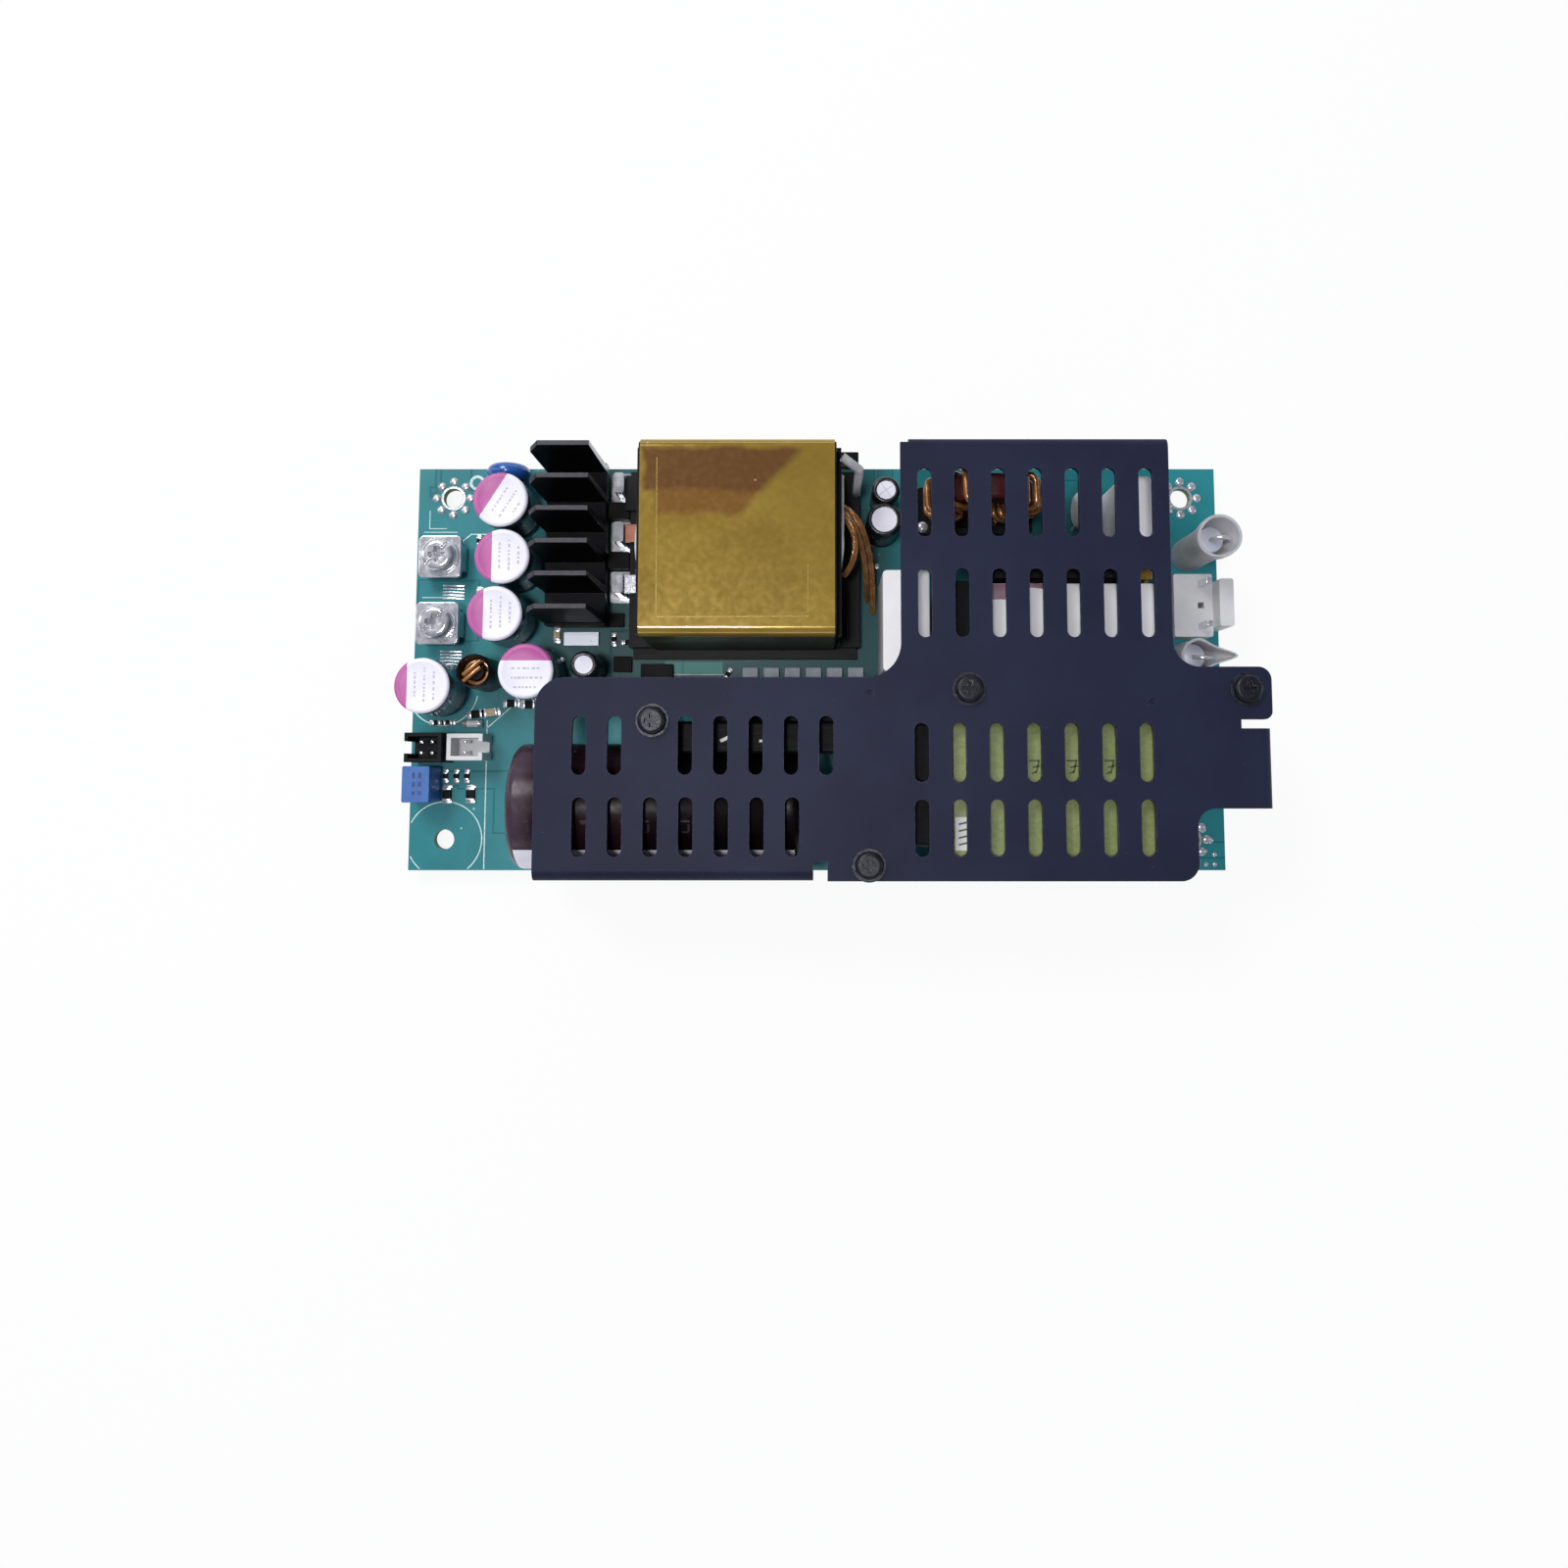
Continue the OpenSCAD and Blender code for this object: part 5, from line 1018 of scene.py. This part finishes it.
# %% [markdown]
# ## Bulk capacitor
# The large capacitor lies on its side under the cover. Its maroon sleeve wraps the rounded shoulders of
# the can and dips where the can is crimped. A pale stripe runs along the side that looks towards the
# board's front edge, and two rows of small print run above it.

# %% Bulk capacitor
centre, size = middle_of("bulk_capacitor")
radius, length = size.z / 2, size.x
shoulder = [(radius - 1.6 + 1.6 * math.sin(math.radians(a)), 1.6 - 1.6 * math.cos(math.radians(a)))
            for a in range(0, 91, 15)]
body = [(0, 0.3), (radius - 2.6, 0.3), (radius - 2.4, 0.02)] + shoulder
body += [(radius - dip, length - z) for dip, z in ((0, 6.4), (0.25, 5.8), (0.5, 5), (0.25, 4.2), (0, 3.6))]
body += [(r, length - z) for r, z in reversed(shoulder)]
body += [(radius - 2.4, length - 0.02), (radius - 2.6, length - 0.5), (0, length - 0.5)]
bm = lathe(body, 96)
for face in bm.faces:
    middle = face.calc_center_median()
    turn = math.degrees(math.atan2(middle.y, -middle.x))
    face.material_index = 1 if math.hypot(middle.x, middle.y) < (radius - 2.4) * mm else 0
    if face.material_index == 0 and -104 < turn < -40 and 1.2 * mm < middle.z < (length - 1.2) * mm:
        face.material_index = 2
move(bm, shift(centre.x - length / 2, centre.y, centre.z) @ ON_ITS_SIDE)
make_piece("bulk_capacitor_sleeve", bm, "maroon_sleeve", ["maroon_sleeve", "bare_aluminium", "cap_white"],
           smooth=45, replaces=["bulk_capacitor"])
make_piece("bulk_capacitor_leads_dressed", cad_copy("bulk_capacitor_leads"), "tinned_metal",
           replaces=["bulk_capacitor_leads"])
bm = bmesh.new()
for spot in range(9):
    for turn, tall, wide in ((-12, 0.34, 1.5), (-18, 1.3, 0.34), (-14 if spot % 2 else -22, 0.34, 1.2)):
        x = centre.x - length / 2 + 3.6 + spot * 3.4 + (0.6 if tall > 1 else 0)
        bar = bmesh.new()
        add_bar(bar, (0, 0, radius + 0.005), (wide, tall, 0.03))
        join(bm, bar, shift(x, centre.y, centre.z) @ Matrix.Rotation(math.radians(-turn), 4, "X"))
make_piece("bulk_capacitor_marks", bm, "maroon_sleeve", ["sleeve_print"])
print(f"bulk capacitor {2 * radius:.0f} x {length:.0f} mm")


# %% [markdown]
# ## Wound wires
# The ring choke's wire loops round the ring's section while it goes round the ring, and the rod choke's
# is a plain helix in a sleeve. Both follow the same routes as their CAD solids, with many more points,
# so that the wire is round and its turns flow.

# %% Ring choke windings
core_middle, core_size = middle_of("common_mode_core")
outer, half_thick = core_size.x / 2, core_size.y / 2
bore, wire, gap = 5.2, 0.55, 0.1  # the core's bore and the wire as radii, and the room between them
turns, sweep, tilt = 7, 134, -18  # each winding's turns, its degrees of the ring and where it starts
steps = turns * 28
ring_mean, half_width = (outer + bore) / 2, (outer - bore) / 2 + gap + wire


def rounded_square(v):
    """Pushes a sine or cosine outwards, so that a circle becomes a rounded square."""
    return math.copysign(abs(v) ** 0.35, v)


paths = []
for side in (tilt, tilt + 180):
    path = []
    for i in range(steps + 1):
        ring = math.radians(side + sweep * (i / steps - 0.5))
        turn = math.tau * (i + 1) / 28
        reach = ring_mean + half_width * rounded_square(math.cos(turn))
        depth = (half_thick + gap + wire) * rounded_square(math.sin(turn))
        path.append((core_middle.x + reach * math.cos(ring), core_middle.y + depth,
                     core_middle.z + reach * math.sin(ring)))
    paths.append(path)
make_piece("ring_choke_wires", wires(paths, wire, 10), "enamelled_copper", replaces=["common_mode_windings"],
           smooth=80)
print("ring choke:", sum(map(len, paths)), "points of wire")

# %% Rod choke
centre, size = middle_of("rod_choke_sleeve")
outer, height = size.x / 2, size.z
wall, wire, turns = 0.5, 0.45, 7
coil = outer - wall - wire - gap
path = []
for i in range(turns * 24 + 1):
    turn = math.radians(360 * i / 24)
    path.append((centre.x + coil * math.cos(turn), centre.y + coil * math.sin(turn),
                 board_top + wire + gap + (height - 3) * i / (turns * 24)))
top = board_top + height - 1.6 + 0.5
tail = [(centre.x + t * 1.5 - 0.5, centre.y + t * 1.3 + side, top + 0.3 * (1 - t * t))
        for side in (0.62, -0.62) for t in (-1, -0.6, -0.2, 0.2, 0.6, 1)]
make_piece("rod_choke_wire", wires([path, tail[:6], tail[6:]], 0.44, 10), "enamelled_copper",
           replaces=["rod_choke_winding"], smooth=80)
sleeve = lathe([(outer - wall, 0), (outer - 0.15, 0), (outer, 0.15), (outer - 0.04, height * 0.5),
                (outer, height - 0.5), (outer - 0.08, height - 0.15), (outer - 0.25, height),
                (outer - 0.42, height - 0.12), (outer - wall, height - 0.5), (outer - wall, 0)], 56)
move(sleeve, shift(centre.x, centre.y, board_top))
make_piece("rod_choke_shrink_sleeve", sleeve, "black_sleeve", smooth=60, replaces=["rod_choke_sleeve"])
print("rod choke done")


# %% [markdown]
# ## Transformer leads
# The leads on the transformer's right are bundles of thin enamelled strands. Each bundle follows the
# smooth route of its CAD solid: seven strands, one in the middle and six round it, with a slow twist.

# %% Transformer leads
core_low, core_high = corners("transformer_core")
winding_bulge, sunk = 1.4, 0.3  # how far the winding stands out, and how deep a lead starts in it
lead_base = Vector((core_high.x + winding_bulge - sunk, (core_low.y + core_high.y) / 2, 0))
ROUTES = [
    ((0.4, 6.6, 15), (3.4, 4, 16), (4.6, -2, 12), (5, -7.4, board_top)),
    ((0.4, 8, 13.4), (4.4, 6, 14.6), (6, -1, 11), (6.1, -9.8, board_top)),
    ((0.4, 5.2, 17), (2.6, 3, 18), (3.4, -1.5, 17), (0.4, -4.6, 14)),
]


def bundle(handles, strands, spread, twist, steps=26):
    """Strands that wind slowly round a smooth route with four handles."""
    a, b, c, d = (lead_base + Vector(h) for h in handles)
    paths = [[] for _ in range(strands)]
    for i in range(steps + 1):
        t = i / steps
        s = 1 - t
        here = s ** 3 * a + 3 * s * s * t * b + 3 * s * t * t * c + t ** 3 * d
        ahead = (s * s * (b - a) + 2 * s * t * (c - b) + t * t * (d - c)).normalized()
        side = ahead.cross(Vector((1, 0.4, 0))).normalized()
        up = side.cross(ahead)
        for k, path in enumerate(paths):
            angle = math.tau * (k / max(1, strands - 1) + twist * t)
            away = spread if k else 0
            path.append(here + away * (math.cos(angle) * side + math.sin(angle) * up))
    return paths


paths = [path for handles in ROUTES for path in bundle(handles, 7, 0.36, 1.2)]
make_piece("transformer_strands", wires(paths, 0.18, 8), "enamelled_copper", replaces=["transformer_leads"],
           smooth=80)
make_piece("lead_sleeve_dressed", cad_copy("lead_sleeve"), "white_sleeve", smooth=60,
           replaces=["lead_sleeve"])
print(len(paths), "strands")

# %% [markdown]
# ## Fuses in their sleeves
# Each upright fuse is a ceramic tube with metal caps. It stands in a soft white sleeve that is wider than
# the fuse, and its top lead turns back down beside it. The sleeve's mouth is uneven, and the front one
# has a flat welded tail. A soft tube is best made ring by ring: each ring of points has its own height,
# radius and shift, first up the outside and then down the inside.

# %% Fuse sleeves
def soft_sleeve(x, y, rings, wall, seed, steps=40):
    """A soft tube through rings of (height, radius, shift in x and y, tail), in mm. The tail
    stretches a ring to one side, which is how a welded end looks."""
    bm = bmesh.new()
    dice = random.Random(seed)
    phase = [dice.uniform(0, math.tau) for _ in range(3)]
    loops = []
    for inward in (0, wall):
        for tall, radius, lean, tail in (rings if not inward else rings[::-1]):
            loop = []
            for k in range(steps):
                a = math.tau * k / steps
                wave = 1 + 0.02 * math.sin(2 * a + phase[0] + tall * 0.3) + 0.012 * math.sin(3 * a + phase[1])
                reach = radius * wave - inward
                pull = tail * max(0.0, math.cos(a)) ** 6
                squash = 1 - 0.35 * min(1.0, tail / 4) * max(0.0, math.cos(a))
                lip = 0.18 * math.sin(2 * a + phase[2]) if tall == rings[-1][0] else 0
                loop.append(bm.verts.new(((x + lean + reach * math.cos(a) + pull) * mm,
                                          (y + lean + reach * math.sin(a) * squash) * mm,
                                          (board_top + tall + lip) * mm)))
            loops.append(loop)
    for first, second in zip(loops, loops[1:] + loops[:1]):
        for k in range(steps):
            bm.faces.new((first[k], first[(k + 1) % steps], second[(k + 1) % steps], second[k]))
    bmesh.ops.recalc_face_normals(bm, faces=bm.faces)
    return bm


FUSES = [(70.8, 21.4, 14.5, 8), (68.8, 1.0, 9.0, -24)]  # x, y, the body's height, its lead's turn
BACK_RINGS = [(0, 3.3, 0, 0), (4, 3.2, 0, 0), (8, 3.15, 0, 0), (11, 3.25, 0.05, 0), (13.5, 3.55, 0.1, 0),
              (15.5, 3.85, 0.1, 0), (17.2, 3.95, 0.1, 0), (17.75, 3.9, 0.1, 0)]
FRONT_RINGS = [(0, 3.3, 0, 0), (3, 3.25, 0, 0), (5, 3.2, 0, 0), (6.5, 3.2, 0, 1.4), (8, 3.2, 0, 3.4),
               (9.5, 3.2, 0, 3.9), (11, 3.25, 0, 3.9), (11.7, 3.2, 0, 3.7)]
bm = soft_sleeve(*FUSES[0][:2], BACK_RINGS, 0.5, 3)
join(bm, soft_sleeve(*FUSES[1][:2], FRONT_RINGS, 0.45, 5), shift(0, 0, 0))
make_piece("fuse_sleeves_soft", bm, "white_sleeve", smooth=60, replaces=["fuse_sleeves"])
cap = 2.6  # mm, the length of a fuse's metal cap
between = 12  # mm, a y between the two fuses
bm = soften(cad_copy("fuse_bodies"), 0.15)
for x, y, tall, turn in FUSES:
    near = [f for f in bm.faces if abs(f.calc_center_median().x / mm - x + 0.5) < 3
            and (f.calc_center_median().y / mm > between) == (y > between)]
    cut(bm, near, (0, 0, (board_top + tall - cap) * mm), (0, 0, 1))
for face in bm.faces:
    middle = face.calc_center_median() / mm
    tall = FUSES[0 if middle.y > between else 1][2]
    face.material_index = 1 if middle.z > board_top + tall - cap - 0.02 else 0
make_piece("fuse_bodies_capped", bm, "fuse_ceramic", ["fuse_ceramic", "shunt_metal"],
           replaces=["fuse_bodies"])
paths = []
for x, y, tall, turn in FUSES:
    aside = math.radians(turn)
    path = []
    for i in range(25):
        a = math.pi * i / 24
        reach = 1.7 * (1 - math.cos(a)) - 0.5
        path.append((x + reach * math.cos(aside * math.sin(a)), y + 0.9 * math.sin(a) * math.sin(aside),
                     board_top + tall + 1.9 * math.sin(a)))
    path += [(x + 2.9, y, board_top + tall - 1), (x + 2.6, y, board_top + tall / 2), (x + 2.6, y, board_top)]
    paths.append(path)
make_piece("fuse_leads_bent", wires(paths, 0.4, 12), "tinned_metal", smooth=80, replaces=["fuse_leads"])
print("fuses done")

# %% [markdown]
# ## Solder under the board
# Every lead goes through the board and ends in a small cone of solder with the cut wire in its middle.
# The cone is hollow sided, because solder climbs the lead as it wets it.

# %% Solder joints
islands = cad_copy("solder_joints")
found = []
for vert in islands.verts:
    if vert.co.z > -1e-5 and all((vert.co.xy - other).length > 2.3 * mm for other in found):
        found.append(vert.co.xy.copy())
groups = {i: [v.co.copy() for v in islands.verts if (v.co.xy - spot).length < 2.25 * mm and v.co.z > -1e-5]
          for i, spot in enumerate(found)}
islands.free()
bm = bmesh.new()
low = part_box("solder_joints")[0].z / mm
CONE = [(0, low), (0.36, low), (0.42, low + 0.1), (0.42, low * 0.72), (0.56, low * 0.42), (0.86, low * 0.14),
        (1.08, -0.03), (1.1, 0.0), (0, 0.0)]
for spots in groups.values():
    middle = sum(spots, Vector()) / len(spots)
    join(bm, lathe(CONE, 20), Matrix.Translation(Vector((middle.x, middle.y, 0))))
make_piece("solder_cones", bm, "solder", smooth=60, replaces=["solder_joints"])
print(len(groups), "solder joints")

# %% [markdown]
# ## Floor and light
# The floor is a plain pale sheet just under the supply. It is lit and takes a soft shadow, but most of
# what the camera and mirror like surfaces see of it is its own white, through Light Path, so that it
# reads as a white background without more light on the parts. Six soft lamps and a dim sky light the
# supply: the strongest hangs high behind it on the left, so that its reflection misses the board, and one
# hangs above, which reaches the parts under the slots.

# %% Floor
def stage_white(tree, lit, glow):
    """Mixes a lit surface with its own white, for camera, glossy and transmission rays."""
    path = tree.nodes.new("ShaderNodeLightPath").outputs
    seen = calculate(tree, "MAXIMUM", path["Is Camera Ray"],
                     calculate(tree, "MAXIMUM", path["Is Glossy Ray"], path["Is Transmission Ray"]))
    share = calculate(tree, "MULTIPLY", seen, glow)
    return add_node(tree, "MixShader", 0, i0=share, i1=lit, i2=add_node(tree, "Emission", 0, Strength=1.0))


bm = bmesh.new()
bmesh.ops.create_grid(bm, x_segments=1, y_segments=1, size=2.5)
floor_z = cad_box[0].z
bmesh.ops.translate(bm, vec=(0, 0, floor_z), verts=bm.verts)
mesh = bpy.data.meshes.new("floor")
bm.to_mesh(mesh)
bm.free()
floor = bpy.data.objects.new("floor", mesh)
scene.collection.objects.link(floor)
floor_paint = bpy.data.materials.new("floor_paint")
floor_paint.use_nodes = True
tree = floor_paint.node_tree
tree.nodes.clear()
matte = add_node(tree, "BsdfDiffuse", 0, Color=srgb(238, 238, 240))
tree.links.new(stage_white(tree, matte, 0.90),
               tree.nodes.new("ShaderNodeOutputMaterial").inputs["Surface"])
mesh.materials.append(floor_paint)
print(f"floor at {floor_z / mm:.1f} mm")

# %% Sky and lamps
world = bpy.data.worlds.new("sky")
scene.world = world
world.use_nodes = True
tree = world.node_tree
tree.nodes.clear()
path = tree.nodes.new("ShaderNodeLightPath").outputs
dim = add_node(tree, "Background", 0, Color=srgb(236, 240, 255), Strength=0.24)
white = add_node(tree, "Background", 0, Strength=1.0)
tree.nodes["Background.001"].inputs["Color"].default_value = (1, 1, 1, 1)
both = add_node(tree, "MixShader", 0, i0=path["Is Camera Ray"], i1=dim, i2=white)
tree.links.new(both, tree.nodes.new("ShaderNodeOutputWorld").inputs["Surface"])
LAMPS = {  # where it hangs in metres, its width and length, and its power in watts
    "lamp_over": ((-0.30, 0.38, 0.62), 0.26, 0.26, 2.8),
    "lamp_top": ((-0.10, -0.05, 0.76), 0.10, 0.10, 2.1),
    "lamp_left": ((-0.62, 0.16, 0.30), 0.16, 0.60, 0.6),
    "lamp_right": ((0.62, -0.05, 0.28), 0.12, 0.50, 0.35),
    "lamp_back": ((0.0, 0.62, 0.22), 0.90, 0.10, 0.8),
    "lamp_front": ((0.0, -0.62, 0.20), 0.90, 0.08, 0.6),
}
for name, (spot, wide, long, power) in LAMPS.items():
    lamp = bpy.data.lights.new(name, "AREA")
    lamp.shape = "RECTANGLE"
    lamp.size, lamp.size_y = wide, long
    lamp.energy = power
    holder = bpy.data.objects.new(name, lamp)
    holder.location = spot
    holder.rotation_euler = (-Vector(spot)).to_track_quat("-Z", "Y").to_euler()
    scene.collection.objects.link(holder)
print(len(LAMPS), "lamps")
